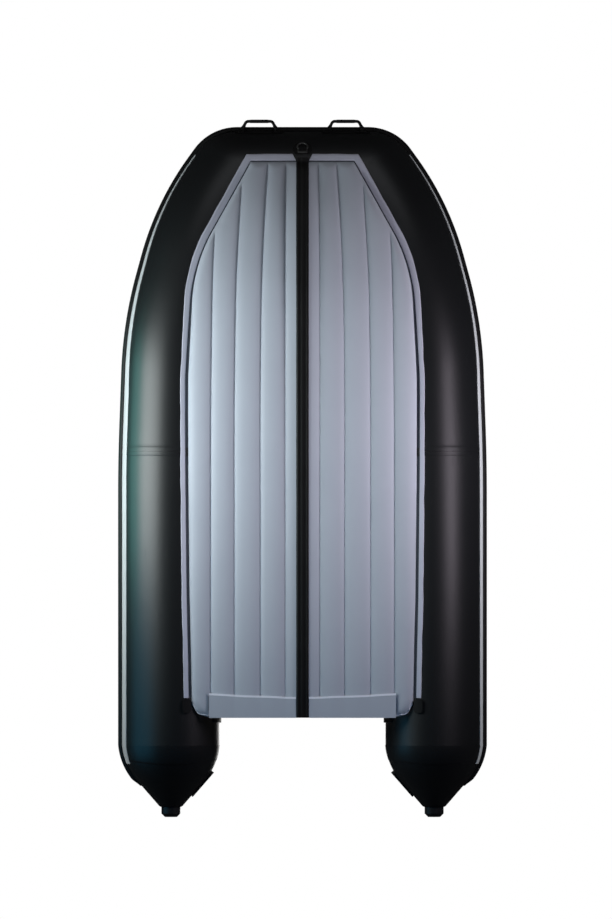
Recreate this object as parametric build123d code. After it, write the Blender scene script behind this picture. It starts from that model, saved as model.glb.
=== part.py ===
from build123d import *

import math
import os

# Inflatable dinghy with a ribbed V-shaped air floor.
# Hull frame in millimetres: X to port, Y aft, Z up, z = 0 at the bottom of the level side tubes.

# Tube
TUBE_R = 225
TUBE_X = 608
STERN_Y = 1280
SEAM_Y = -69
BOW_Y = -1335
BOW_X = 303
BOW_RISE = 205
GLUE = 0.3

# Bends of the tube's centre line, port side, from the stern to the bow corner.
# Columns: x, y, height above the level part, bend radius.
TUBE_BENDS = [
    (TUBE_X, -30, 0, 5000),
    (587, -636, 30, 1500),
    (455, -1123, 130, 1200),
]

# Tail cone
CONE_SHOULDER_Y = 1441
CONE_SHOULDER_R = 159
CONE_END_Y = 1566
CONE_END_R = 50
CONE_BULGE = 14
CAP_LENGTH = 46
CAP_R = 44
CAP_CHAMFER = 16

# Rub strake
BAND_ANGLE = 24.5
BAND_THICK = 3
BEAD_ANGLE = 8
BEAD_PROUD = 19
BAND_FRONT_Y = -1330
BAND_GAP_ANGLE = 0.5
BAND_TAIL_Y = 1366

# Air floor
FLOOR_END_Y = 1150
CHANNEL_BULGE = 10
TAPE_WIDTH = 36
TAPE_THICK = 2.5

# Stations of the air floor, from the stern forward.
# Columns: y, underside at the keel, underside at the tape, top at the seams,
# then x of the four seams and of the loft's edge.
FLOOR_STATIONS = [
    (1150, 8, 13, 84, 80, 194, 314, 423, 530),
    (300, -10, 12, 78, 80, 194, 314, 423, 530),
    (-450, -35, 14, 72, 80, 193, 312, 420, 530),
    (-900, -8, 68, 104, 79, 185, 303, 412, 525),
    (-1180, 75, 143, 190, 78, 172, 288, 400, 510),
    (-1416, 212, 212, 280, 76, 158, 275, 390, 490),
]

# Outer edge of the bonding tape in plan, port side, from the bow centre to the stern.
TAPE_FRONT_Y = -1451
TAPE_CORNER = (258, TAPE_FRONT_Y)
TAPE_BEND = (536, -950)
TAPE_BEND_R = 800
TAPE_SIDE_X = 563
TAPE_SIDE_Y = -420
TAPE_SIDE_R = 1500
TAPE_END_Y = 1063

# Keel strip and stern flap
KEEL_WIDTH = 58
KEEL_THICK = 6
KEEL_RIDGE = 6
KEEL_FRONT = (-1434, 236)
FLAP_Y = 1042
FLAP_X = 425
FLAP_THICK = 2

# Transom
TRANSOM_Y = 1095
TRANSOM_THICK = 28
TRANSOM_RAKE = 2
TRANSOM_FOOT_Z = 14
TRANSOM_FOOT_X = 432
TRANSOM_TOP_Z = 420
TRANSOM_SHOULDER_Z = 384
TRANSOM_CROWN_X = 190
TRANSOM_STEP_X = 235
PAD_WIDTH = 230
PAD_HEIGHT = 130
PAD_THICK = 6
HOLDER_WIDTH = 45
HOLDER_THICK = 8
DRAIN_R = 14
DRAIN_WALL = 4
DRAIN_FLANGE_R = 27
DRAIN_FLANGE_THICK = 4
DRAIN_HEIGHT = 108

# Seats and rails. The rails are glued on the tubes where the seats' ends come.
RAIL_OUTSET = 13.4
RAIL_FRONT_Y = 115
RAIL_END_Y = 1010
RAIL_STEM = 6
RAIL_FLANGE = 22
RAIL_FLANGE_THICK = 4
RAIL_HEIGHT = 14
RAIL_PLAY = 0.6
SEAT_LENGTH = 900
SEAT_WIDTH = 220
SEAT_THICK = 22
SEAT_CORNER_R = 40
SEAT_BEVEL = 5
SEAT_FORE_Y = 280
SEAT_AFT_Y = 760
SLIDER_LENGTH = 120
SLIDER_WALL = 5
SEAT_CLEAR = 2

# Rowlocks
ROWLOCK_Y = 520
SOCKET_R = 24
SOCKET_HEIGHT = 40
SOCKET_PATCH_R = 60
SHAFT_R = 6.35
SHAFT_PLAY = 0.1
HORN_R = 28
HORN_ROD_R = 5.5
HORN_ARM = 26

# Handles
HANDLE_SPAN = 172
HANDLE_RISE = 50
HANDLE_ROD_R = 6.5
HANDLE_FOOT = 40
BOW_HANDLE_X = 200
BOW_HANDLE_ANGLE = 78
SIDE_HANDLE_Y = 860
SIDE_HANDLE_ANGLE = 30

# Bow ring
RING_ANGLE = 38
RING_PATCH_R = 44
RING_R = 23
RING_ROD_R = 3.5
RING_LEG = 8
RING_LIFT = 6.5
RING_BLOCK = 24

# Valves
VALVE_R = 27
VALVE_HEIGHT = 12
VALVE_FLANGE_R = 38
VALVE_ANGLE = 62
VALVE_Y = 1005
PATCH_THICK = 2
FLOOR_VALVE_Y = 1000
FLOOR_VALVE_R = 24

# Fittings at the stern
GUSSET_X = 533
GUSSET_Y = 1097
GUSSET_SIZE = (40, 66)
GUSSET_THICK = 9
TOW_PAD_Y = 1458
TOW_PAD_LENGTH = 150
TOW_PAD_WIDTH = 44
TOW_PAD_THICK = 8


def tube_points():
    """Centre line of the port tube as corners, from the stern to the bow corner."""
    points = [Vector(TUBE_X, STERN_Y, TUBE_R)]
    points += [Vector(x, y, TUBE_R + rise) for x, y, rise, _ in TUBE_BENDS]
    points.append(Vector(BOW_X, BOW_Y, TUBE_R + BOW_RISE))
    return points


def tube_path():
    return FilletPolyline(*tube_points(), radius=[bend[3] for bend in TUBE_BENDS])


def mirrored(shape):
    return mirror(shape, about=Plane.YZ)


def arm(radius):
    """Port tube from the stern cylinder's end to the bow corner."""
    start = Plane(origin=tube_points()[0], z_dir=(0, -1, 0), x_dir=(1, 0, 0))
    return sweep(start * Circle(radius), path=tube_path())


def whole_tube(radius):
    """Both arms, the ball-shaped bow corners and the straight bow piece."""
    corner = Pos(*tube_points()[-1]) * Sphere(radius)
    bow = Pos(0, BOW_Y, TUBE_R + BOW_RISE) * Rot(0, 90, 0) * Cylinder(radius, 2 * BOW_X)
    side = arm(radius)
    return side + corner + bow + mirrored(corner) + mirrored(side)


def side_cylinder(radius, length=4000):
    """Cylinder on the straight part of the port tube's axis."""
    return Pos(TUBE_X, 0, TUBE_R) * Rot(90, 0, 0) * Cylinder(radius, length)


def bow_cylinder(radius):
    """Cylinder on the bow piece's axis, long enough to trim what sits near the corners."""
    return Pos(0, BOW_Y, TUBE_R + BOW_RISE) * Rot(0, 90, 0) * Cylinder(radius, 4 * BOW_X)


def prism(face, low=-400, high=1200):
    """Vertical prism over a plan outline."""
    return extrude(Pos(0, 0, low) * face, amount=high - low)


def box(low, high):
    """Box between two corners."""
    size = [b - a for a, b in zip(low, high)]
    middle = [(a + b) / 2 for a, b in zip(low, high)]
    return Pos(*middle) * Box(*size)


def outline_face(half):
    """Face of a plan outline given as its port half, from the bow centre to the stern."""
    half = list(half)
    other = [(-x, y) for x, y in reversed(half) if x > 0]
    return make_face(Polyline(*half, *other, close=True))


def tape_outline(inset):
    """Plan face inside the bonding tape's outer edge, moved in by inset, out to the stern."""
    side = FilletPolyline(
        (TAPE_CORNER[0], TAPE_CORNER[1], 0),
        (TAPE_BEND[0], TAPE_BEND[1], 0),
        (TAPE_SIDE_X, TAPE_SIDE_Y, 0),
        (TAPE_SIDE_X, FLOOR_END_Y + TAPE_WIDTH, 0),
        radius=[TAPE_BEND_R, TAPE_SIDE_R],
    )
    front = Line((-TAPE_CORNER[0], TAPE_FRONT_Y), TAPE_CORNER)
    other = mirror(side, about=Plane.YZ)
    back = Line((TAPE_SIDE_X, FLOOR_END_Y + TAPE_WIDTH), (-TAPE_SIDE_X, FLOOR_END_Y + TAPE_WIDTH))
    face = make_face(front.edges() + side.edges() + other.edges() + back.edges())
    if inset:
        face = offset(face, amount=-inset, kind=Kind.INTERSECTION)
    return face


def side_chamber():
    """Port tube aft of the seam."""
    return arm(TUBE_R) & box((0, SEAM_Y, -100), (2 * TUBE_X, STERN_Y + 1, 1000))


def bow_chamber():
    """Bow and both arms forward of the seam."""
    wide = 2 * (TUBE_X + TUBE_R)
    return whole_tube(TUBE_R) & box((-wide, -3000, -100), (wide, SEAM_Y, 1000))


def cone_shoulder():
    """Arc of the cone's rounded shoulder, as radius and y."""
    middle_y = (STERN_Y + CONE_SHOULDER_Y) / 2
    middle_r = (TUBE_R + CONE_SHOULDER_R) / 2 + CONE_BULGE
    return ThreePointArc((TUBE_R, STERN_Y), (middle_r, middle_y), (CONE_SHOULDER_R, CONE_SHOULDER_Y))


def tail_cone(extra=0):
    """Cone on the stern end of the port tube: a shoulder of two tapers, then a straight one."""
    arc = cone_shoulder()
    profile = [arc @ share for share in (0, 0.5, 1)] + [Vector(CONE_END_R, CONE_END_Y)]
    run = [(point.X + extra, point.Y) for point in profile]
    face = make_face(Polyline((0, STERN_Y), *run, (0, CONE_END_Y), close=True))
    return Pos(TUBE_X, 0, TUBE_R) * revolve(face, axis=Axis.Y)


def cone_cap():
    """Moulded cap on the cone's tip, with its end bevelled."""
    cap = extrude(Circle(CAP_R), amount=CAP_LENGTH)
    cap = chamfer(cap.edges().sort_by(Axis.Z)[-1], length=CAP_CHAMFER)
    return Pos(TUBE_X, CONE_END_Y, TUBE_R) * Rot(-90, 0, 0) * cap


def on_skin(rise, angle):
    """Point of a tube section, at a height above the skin and an angle above the level."""
    rad = math.radians(angle)
    radius = TUBE_R + GLUE + rise
    return (radius * math.cos(rad), radius * math.sin(rad))


def bead_section():
    """Section of the strake: a dome of five flats on the tube's outer side."""
    profile = [(0, -1), (BAND_THICK, -1), (0.72 * BEAD_PROUD, -0.78), (BEAD_PROUD, -0.3)]
    run = [on_skin(rise, share * BEAD_ANGLE) for rise, share in profile]
    run += [(x, -y) for x, y in reversed(run)]
    inner = ThreePointArc(run[0], on_skin(0, 0), run[-1])
    return make_face(Polyline(*run).edges() + inner.edges())


def band_section(low_angle, high_angle):
    """Section of a flat band on the tube's outer side."""
    middle = (low_angle + high_angle) / 2
    edges = [
        ThreePointArc(on_skin(0, low_angle), on_skin(0, middle), on_skin(0, high_angle)),
        Line(on_skin(0, high_angle), on_skin(BAND_THICK, high_angle)),
        ThreePointArc(
            on_skin(BAND_THICK, high_angle), on_skin(BAND_THICK, middle), on_skin(BAND_THICK, low_angle)
        ),
        Line(on_skin(BAND_THICK, low_angle), on_skin(0, low_angle)),
    ]
    return make_face(edges)


def strake(section):
    """Strip swept along the port side to the middle of the bow, close round the bow corner."""
    points = tube_points() + [Vector(0, BOW_Y, TUBE_R + BOW_RISE)]
    path = FilletPolyline(*points, radius=[bend[3] for bend in TUBE_BENDS] + [1])
    start = Plane(origin=tube_points()[0], z_dir=(0, -1, 0), x_dir=(1, 0, 0))
    return sweep(start * section, path=path)


def bead_on_cone():
    """The strake's tail, which follows the port cone's outer side."""
    half = TUBE_R * math.sin(math.radians(BEAD_ANGLE))
    path = Pos(TUBE_X, 0, TUBE_R) * cone_shoulder()
    direction = path % 0
    run = [(-2 * BEAD_PROUD, -half), (BAND_THICK, -half), (0.72 * BEAD_PROUD, -0.78 * half)]
    run.append((BEAD_PROUD + GLUE, -0.3 * half))
    run += [(x, -y) for x, y in reversed(run)]
    dome = make_face(Polyline(*run, close=True))
    start = Plane(origin=path @ 0, x_dir=(direction.Y, -direction.X, 0), z_dir=direction)
    stern = Pos(TUBE_X, STERN_Y - 100, TUBE_R) * Rot(90, 0, 0) * Cylinder(TUBE_R + GLUE, 200)
    return sweep(start * dome, path=path) - tail_cone(GLUE) - stern


def rub_strake():
    """Black half-round strake, all round the tube, with tails on the cones."""
    port = strake(bead_section()) + bead_on_cone()
    return port + mirrored(port)


def band_on_cone(low_angle, high_angle):
    """The end of a flat band, on the shoulder of the port cone, with level edges."""
    low, high = [TUBE_R * (1 + math.sin(math.radians(angle))) for angle in (low_angle, high_angle)]
    shell = tail_cone(GLUE + BAND_THICK) - tail_cone(GLUE)
    return shell & box((TUBE_X, STERN_Y, low), (2 * TUBE_X, BAND_TAIL_Y, high))


def strake_band():
    """Pale flat bands above and below the strake, from the bow corners to the cones."""
    port = []
    for low, high in ((-BAND_ANGLE, -BEAD_ANGLE - BAND_GAP_ANGLE), (BEAD_ANGLE + BAND_GAP_ANGLE, BAND_ANGLE)):
        band = strake(band_section(low, high))
        band = band & box((0, BAND_FRONT_Y, -100), (2 * TUBE_X, STERN_Y, 1000))
        port.append(band + band_on_cone(low, high))
    return Compound(children=port + [mirrored(band) for band in port])


def side_tape(shell, outline):
    """Lower part of a tube shell inside a plan outline."""
    return (shell & prism(outline)).solids().sort_by(Axis.Z)[0]


def bonding_tape():
    """Tape that joins the floor to the tube, with both faces following the tube."""
    shell = whole_tube(TUBE_R + GLUE + TAPE_THICK) - whole_tube(TUBE_R + GLUE)
    ring = tape_outline(0) - tape_outline(TAPE_WIDTH)
    ahead = ring & (Pos(0, TAPE_END_Y - 2000) * Rectangle(3000, 4000))
    return side_tape(shell, ahead)


def station_value(y, column):
    """Value of a column of the floor's table at a place along the boat."""
    rows = FLOOR_STATIONS
    for aft, fore in zip(rows, rows[1:]):
        if fore[0] <= y <= aft[0]:
            share = (y - aft[0]) / (fore[0] - aft[0])
            return aft[column] + share * (fore[column] - aft[column])
    return rows[0][column] if y > rows[0][0] else rows[-1][column]


# Rounded channel in flats. Columns: share of its width, share of its bulge.
CHANNEL_PROFILE = [(0, 0), (0.22, 0.7), (0.5, 1), (0.78, 0.7)]


def floor_section(station):
    """Section of the floor: nine rounded channels below on the V, nine above on the deck."""
    y, keel, chine, deck, *seams = station
    width = seams[-1]
    xs = [-x for x in reversed(seams)] + seams

    def under(x):
        return keel + (chine - keel) * abs(x) / width

    below, above = [], []
    for a, b in zip(xs, xs[1:]):
        for share, rise in CHANNEL_PROFILE:
            x = a + (b - a) * share
            chord = under(a) + (under(b) - under(a)) * share
            below.append((x, y, chord - rise * CHANNEL_BULGE))
            above.append((x, y, deck + rise * CHANNEL_BULGE))
    below.append((width, y, under(width)))
    above.append((width, y, deck))
    return make_face(Polyline(*below, *reversed(above), close=True))


def floor_form():
    """The floor before it is trimmed to the tubes."""
    return loft([floor_section(station) for station in FLOOR_STATIONS], ruled=True)


def floor_outline():
    """Plan of the floor inside the tape, with chamfered stern corners."""
    stern = [
        (0, -2000),
        (700, -2000),
        (700, 1040),
        (512, 1062),
        (508, 1092),
        (483, 1136),
        (441, 1142),
        (425, FLOOR_END_Y),
        (0, FLOOR_END_Y),
    ]
    return tape_outline(TAPE_WIDTH + GLUE) & outline_face(stern)


def transom_plane():
    """Front face of the transom: x to port, y up the board, normal forward."""
    rake = math.radians(TRANSOM_RAKE)
    normal = (0, -math.cos(rake), math.sin(rake))
    return Plane(origin=(0, TRANSOM_Y, TRANSOM_FOOT_Z), x_dir=(1, 0, 0), z_dir=normal)


def board_height(z):
    """Distance up the raked board for a height above the tube's bottom."""
    return (z - TRANSOM_FOOT_Z) / math.cos(math.radians(TRANSOM_RAKE))


def behind_transom():
    """Space from the transom's front face aft, above the transom's foot."""
    return transom_plane() * extrude(Pos(0, 500) * Rectangle(2000, 1000), amount=-400)


def air_floor():
    """Ribbed inflatable floor between the tubes, under the bow tube and up to the transom."""
    form = floor_form() & prism(floor_outline())
    return form - whole_tube(TUBE_R + GLUE) - behind_transom()


def keel_section(station):
    """Section of the keel strip with its three ridges."""
    y, keel = station[0], station[1] - CHANNEL_BULGE
    half = KEEL_WIDTH / 2
    ridge = KEEL_RIDGE
    low = keel - KEEL_THICK
    run = [(-half, keel + 20), (-half, keel - 2), (-half + ridge, low), (-2 * ridge, low)]
    run += [(-1.5 * ridge, low + 2), (-ridge, low + 2), (-ridge / 2, low), (0, low)]
    other = [(-x, z) for x, z in reversed(run[:-1])]
    return make_face(Polyline(*[(x, y, z) for x, z in run + other], close=True))


def keel_strip(floor):
    """Ribbed strip under the keel, which follows the floor's middle channel."""
    form = loft([keel_section(station) for station in FLOOR_STATIONS + [KEEL_FRONT]], ruled=True)
    trimmed = form - floor - behind_transom()
    trimmed = trimmed - bow_cylinder(TUBE_R + GLUE + TAPE_THICK)
    return trimmed.solids().sort_by(Axis.Z)[0]


def stern_flap(floor, keel):
    """Doubling sheet under the stern end of the floor."""
    sheet = Pos(0, 0, -FLAP_THICK) * floor & box((-FLAP_X, FLAP_Y, -400), (FLAP_X, FLOOR_END_Y, TRANSOM_FOOT_Z - 4))
    return sheet - floor - keel


def side_shell(inner, outer):
    """Thin shell round the straight part of the port tube."""
    return side_cylinder(outer) - side_cylinder(inner)


def on_side(angle, y):
    """Place on the straight port tube: x aft, z outward; angle from the top towards the boat's middle."""
    rad = math.radians(angle)
    normal = Vector(-math.sin(rad), 0, math.cos(rad))
    return Plane(origin=Vector(TUBE_X, y, TUBE_R) + TUBE_R * normal, x_dir=(0, 1, 0), z_dir=normal)


def on_bow(angle, x):
    """Place on the bow tube: x to port, z outward; angle from the bottom towards the front."""
    rad = math.radians(angle)
    normal = Vector(0, -math.sin(rad), -math.cos(rad))
    centre = Vector(x, BOW_Y, TUBE_R + BOW_RISE)
    return Plane(origin=centre + TUBE_R * normal, x_dir=(1, 0, 0), z_dir=normal)


def transom():
    """Plywood board, raised in the middle, with the drain hole."""
    shoulder = board_height(TRANSOM_SHOULDER_Z)
    crown = board_height(TRANSOM_TOP_Z)
    foot = [(TRANSOM_FOOT_X, 0), (TRANSOM_FOOT_X + 18, 42), (TUBE_X, 130)]
    half = foot + [(TUBE_X, shoulder), (TRANSOM_STEP_X, shoulder), (TRANSOM_CROWN_X, crown)]
    other = [(-x, y) for x, y in reversed(half)]
    face = make_face(Polyline(*half, *other, close=True))
    bends = face.vertices().filter_by(lambda v: v.Y > shoulder - 1 and abs(v.X) < TUBE_X - 1)
    face = fillet(bends, radius=25)
    hole = Pos(0, board_height(DRAIN_HEIGHT)) * Circle(DRAIN_R + DRAIN_WALL)
    board = transom_plane() * extrude(face - hole, amount=-TRANSOM_THICK)
    tube = side_cylinder(TUBE_R + GLUE)
    return board - tube - mirrored(tube)


def motor_pad(outer):
    """Plate under the motor's clamp, on the after or the forward face of the transom."""
    face = RectangleRounded(PAD_WIDTH, PAD_HEIGHT, 12)
    up = board_height(TRANSOM_TOP_Z) - PAD_HEIGHT / 2 - 4
    flat = Pos(0, up) * face
    if outer:
        plate = extrude(Pos(0, 0, -TRANSOM_THICK) * flat, amount=-PAD_THICK)
    else:
        plate = extrude(flat, amount=PAD_THICK)
    return transom_plane() * plate


def drain_valve():
    """Drain sleeve through the transom with a flange on the after face."""
    centre = Pos(0, board_height(DRAIN_HEIGHT))
    wall = DRAIN_R + DRAIN_WALL
    sleeve = extrude(centre * (Circle(wall - 0.05) - Circle(DRAIN_R)), amount=-TRANSOM_THICK)
    flange_face = Circle(DRAIN_FLANGE_R) - Circle(DRAIN_R)
    flange = extrude(centre * Pos(0, 0, -TRANSOM_THICK) * flange_face, amount=-DRAIN_FLANGE_THICK)
    return transom_plane() * (sleeve + flange)


def transom_holder(board):
    """Glued strips on the port tube, before and behind the board."""
    shell = side_shell(TUBE_R + GLUE, TUBE_R + GLUE + HOLDER_THICK)
    length = board_height(345) - board_height(110)
    slab = transom_plane() * Pos(450, board_height(110) + length / 2, -TRANSOM_THICK / 2)
    return (shell & slab * Box(300, length, TRANSOM_THICK + 2 * HOLDER_WIDTH)) - board


def rail_angle():
    """Angle of the rails from the tube's top, in radians."""
    return math.asin((TUBE_X - SEAT_LENGTH / 2 - RAIL_OUTSET) / TUBE_R)


def rail_frame(y):
    """Section plane of the port seat rail: x along the tube's skin, y away from it."""
    rad = rail_angle()
    x = TUBE_X - TUBE_R * math.sin(rad)
    z = TUBE_R + TUBE_R * math.cos(rad)
    return Plane(origin=(x, y, z), x_dir=(-math.cos(rad), 0, -math.sin(rad)), z_dir=(0, 1, 0))


def rail_profile(play):
    """T-shaped profile of the rail, or of the slot that runs on it."""
    stem_top = RAIL_HEIGHT - RAIL_FLANGE_THICK
    stem = Pos(0, stem_top / 2) * Rectangle(RAIL_STEM + 2 * play, stem_top + 2 * play)
    flange = Pos(0, RAIL_HEIGHT - RAIL_FLANGE_THICK / 2)
    return stem + flange * Rectangle(RAIL_FLANGE + 2 * play, RAIL_FLANGE_THICK + 2 * play)


def seat_rail():
    """Rail glued along the inner shoulder of the port tube."""
    length = RAIL_END_Y - RAIL_FRONT_Y
    rail = extrude(rail_frame(RAIL_FRONT_Y) * rail_profile(0), amount=length)
    base = rail_frame(RAIL_FRONT_Y) * Pos(0, 0, length / 2) * Box(44, 24, length)
    shell = side_shell(TUBE_R + GLUE, TUBE_R + GLUE + PATCH_THICK)
    return (rail - side_cylinder(TUBE_R + GLUE)) + (base & shell)


def seat_bottom_z():
    """Height of the seat's underside: just above the sliders' highest corner."""
    rad = rail_angle()
    up = TUBE_R + RAIL_HEIGHT + RAIL_PLAY + SLIDER_WALL
    side = RAIL_FLANGE / 2 + RAIL_PLAY + SLIDER_WALL
    return TUBE_R + up * math.cos(rad) + side * math.sin(rad) + SEAT_CLEAR


def slider(y):
    """Slider that wraps the port rail and carries the seat."""
    bottom = PATCH_THICK + 1.2
    top = RAIL_HEIGHT + RAIL_PLAY + SLIDER_WALL
    width = RAIL_FLANGE + 2 * (RAIL_PLAY + SLIDER_WALL)
    block = Pos(0, (bottom + top) / 2) * Rectangle(width, top - bottom)
    start = y - SLIDER_LENGTH / 2
    wrap = extrude(rail_frame(start) * block, amount=SLIDER_LENGTH)
    rad = rail_angle()
    middle = TUBE_X - (TUBE_R + RAIL_HEIGHT) * math.sin(rad)
    post_low = TUBE_R + (TUBE_R + RAIL_HEIGHT) * math.cos(rad)
    half = width / 2
    post = box((middle - half, start, post_low), (middle + half, start + SLIDER_LENGTH, seat_bottom_z()))
    slot = extrude(rail_frame(start - 1) * rail_profile(RAIL_PLAY), amount=SLIDER_LENGTH + 2)
    return (wrap + post) - slot


def seat(y):
    """Bench seat with rounded corners and a bevelled upper edge."""
    plank = extrude(RectangleRounded(SEAT_LENGTH, SEAT_WIDTH, SEAT_CORNER_R), amount=SEAT_THICK)
    plank = chamfer(plank.faces().sort_by(Axis.Z)[-1].edges(), length=SEAT_BEVEL)
    return Pos(0, y, seat_bottom_z()) * plank


def rowlock_top_z():
    return 2 * TUBE_R + SOCKET_HEIGHT


def rowlock_socket():
    """Socket glued on the port tube's top, with an upright bore."""
    place = Pos(TUBE_X, ROWLOCK_Y, 0)
    shell = side_shell(TUBE_R + GLUE, TUBE_R + GLUE + PATCH_THICK + 1)
    patch = shell & place * Pos(0, 0, 2 * TUBE_R) * Cylinder(SOCKET_PATCH_R, 60)
    body = place * extrude(Pos(0, 0, 2 * TUBE_R - 20) * Circle(SOCKET_R), amount=SOCKET_HEIGHT + 20)
    body = chamfer(body.edges().sort_by(Axis.Z)[-1], length=3)
    bore = place * extrude(Pos(0, 0, 2 * TUBE_R + 3) * Circle(SHAFT_R + SHAFT_PLAY), amount=SOCKET_HEIGHT)
    return patch + (body - side_cylinder(TUBE_R + GLUE)) - bore


def rowlock():
    """Open rowlock: shaft, collar and a horn that holds the oar."""
    top = rowlock_top_z()
    shaft = Pos(0, 0, 2 * TUBE_R + 4) * extrude(Circle(SHAFT_R), amount=SOCKET_HEIGHT)
    collar = Pos(0, 0, top + 0.4) * extrude(Circle(15), amount=6)
    centre = top + 6 + HORN_R + HORN_ROD_R - 2
    arch = [(0, y, centre + z) for y, z in arch_points(HORN_R, 8, 180)]
    run = [(0, -HORN_R, centre + HORN_ARM)] + arch + [(0, HORN_R, centre + HORN_ARM)]
    horn = bent_rod(run, HORN_ROD_R, (1, 0, 0))
    knob = extrude(RegularPolygon(HORN_ROD_R + 2, 8), amount=12)
    for side in (-1, 1):
        horn += Pos(0, side * HORN_R, centre + HORN_ARM) * knob
    return Pos(TUBE_X, ROWLOCK_Y, 0) * (shaft + collar + horn)


def bent_rod(points, radius, x_dir):
    """Eight-sided rod along a run of straight lines, mitred at the bends."""
    path = Polyline(*points)
    start = Plane(origin=path @ 0, x_dir=x_dir, z_dir=path % 0)
    return sweep(start * RegularPolygon(radius, 8), path=path, transition=Transition.RIGHT)


def arch_points(radius, count, start_angle):
    """Points of a half circle round the origin, as across and along."""
    angles = [math.radians(start_angle + 180 * k / count) for k in range(count + 1)]
    return [(radius * math.cos(angle), radius * math.sin(angle)) for angle in angles]


def handle(place, cylinder):
    """Moulded carry handle on its patch: a trapezoid arch on two feet, its length along local x."""
    half = HANDLE_SPAN / 2
    bar = half * 0.7
    corners = [(-half, 0, -6), (-bar - 6, 0, HANDLE_RISE - 10), (-bar + 6, 0, HANDLE_RISE)]
    corners += [(-x, y, z) for x, y, z in reversed(corners)]
    shape = bent_rod(corners, HANDLE_ROD_R, (0, 1, 0))
    for side in (-1, 1):
        shape += Pos(side * (half - 3), 0, 0) * Box(HANDLE_FOOT, HANDLE_FOOT, 20)
    patch = place * Box(HANDLE_SPAN + 54, HANDLE_FOOT + 30, 40)
    skin = cylinder(TUBE_R + GLUE + PATCH_THICK) - cylinder(TUBE_R + GLUE)
    return (place * shape - cylinder(TUBE_R + GLUE)) + (patch & skin)


def bow_ring_patch(tape):
    """Round patch on the bow's front-lower face, with the webbing block that holds the ring."""
    place = on_bow(RING_ANGLE, 0)
    skin = bow_cylinder(TUBE_R + GLUE + PATCH_THICK) - bow_cylinder(TUBE_R + GLUE)
    patch = ((place * Cylinder(RING_PATCH_R, 60)) & skin) - tape
    width = 2 * (RING_R - RING_ROD_R) - 3
    block = place * Pos(0, RING_ROD_R + 1.5 - RING_BLOCK / 2, 4.5) * Box(width, RING_BLOCK, 15)
    slot = Pos(0, 0, RING_LIFT) * Box(4 * RING_R, 2 * RING_ROD_R + 0.2, 2 * RING_ROD_R + 0.2)
    return patch + (block - bow_cylinder(TUBE_R + GLUE)) - place * slot


def bow_ring():
    """D-shaped towing ring lying on the tube, its straight side through the block."""
    rod = RegularPolygon(RING_ROD_R, 8)
    length = 2 * (RING_R + RING_ROD_R * 0.92)
    ring = Pos(-length / 2, 0, 0) * Rot(0, 90, 0) * extrude(rod, amount=length)
    arch = [(x, RING_LEG + y, 0) for x, y in arch_points(RING_R, 8, 0)]
    run = [(RING_R, 0, 0)] + arch + [(-RING_R, 0, 0)]
    ring += bent_rod(run, RING_ROD_R, (0, 0, 1))
    return on_bow(RING_ANGLE, 0) * Pos(0, 0, RING_LIFT) * ring


def stern_gusset(board):
    """Rounded pad that closes the corner of floor and tube under the port stern."""
    slot = Pos(GUSSET_X, GUSSET_Y) * RectangleRounded(*GUSSET_SIZE, 16)
    shell = side_shell(TUBE_R + GLUE, TUBE_R + GLUE + GUSSET_THICK)
    return (shell & prism(slot, -400, TUBE_R)) - board


def tow_pad():
    """Low fitting on the inner side of the port cone."""
    slope = math.atan2(CONE_SHOULDER_R - CONE_END_R, CONE_END_Y - CONE_SHOULDER_Y)
    radius = CONE_SHOULDER_R - (TOW_PAD_Y - CONE_SHOULDER_Y) * math.tan(slope)
    place = Pos(TUBE_X - radius, TOW_PAD_Y, TUBE_R) * Rot(0, 0, -math.degrees(slope))
    slab = Rot(0, 90, 0) * extrude(RectangleRounded(TOW_PAD_WIDTH, TOW_PAD_LENGTH, 20), amount=60, both=True)
    cut = place * box((-TOW_PAD_THICK, -200, -200), (200, 200, 200))
    return place * slab & cut & box((0, STERN_Y, 0), (TUBE_X, 3000, 500)) - tail_cone(GLUE)


def valve(place, cylinder):
    """Air valve: a flange on the skin and a round cap."""
    skin = cylinder(TUBE_R + GLUE + PATCH_THICK) - cylinder(TUBE_R + GLUE)
    flange = (place * Cylinder(VALVE_FLANGE_R, 60)) & skin
    cap = extrude(Pos(0, 0, -8) * Circle(VALVE_R), amount=VALVE_HEIGHT + 8)
    return flange + (place * cap - cylinder(TUBE_R + GLUE))


def floor_valve(floor):
    """Air valve on the floor's middle channel."""
    crest = station_value(FLOOR_VALVE_Y, 3) + CHANNEL_BULGE
    cap = extrude(Pos(0, 0, -12) * Circle(FLOOR_VALVE_R), amount=VALVE_HEIGHT + 12)
    return Pos(0, FLOOR_VALVE_Y, crest - 2) * cap - floor


def both_sides(pieces, name, shape):
    pieces[name + "_port"] = shape
    pieces[name + "_starboard"] = mirrored(shape)


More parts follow.
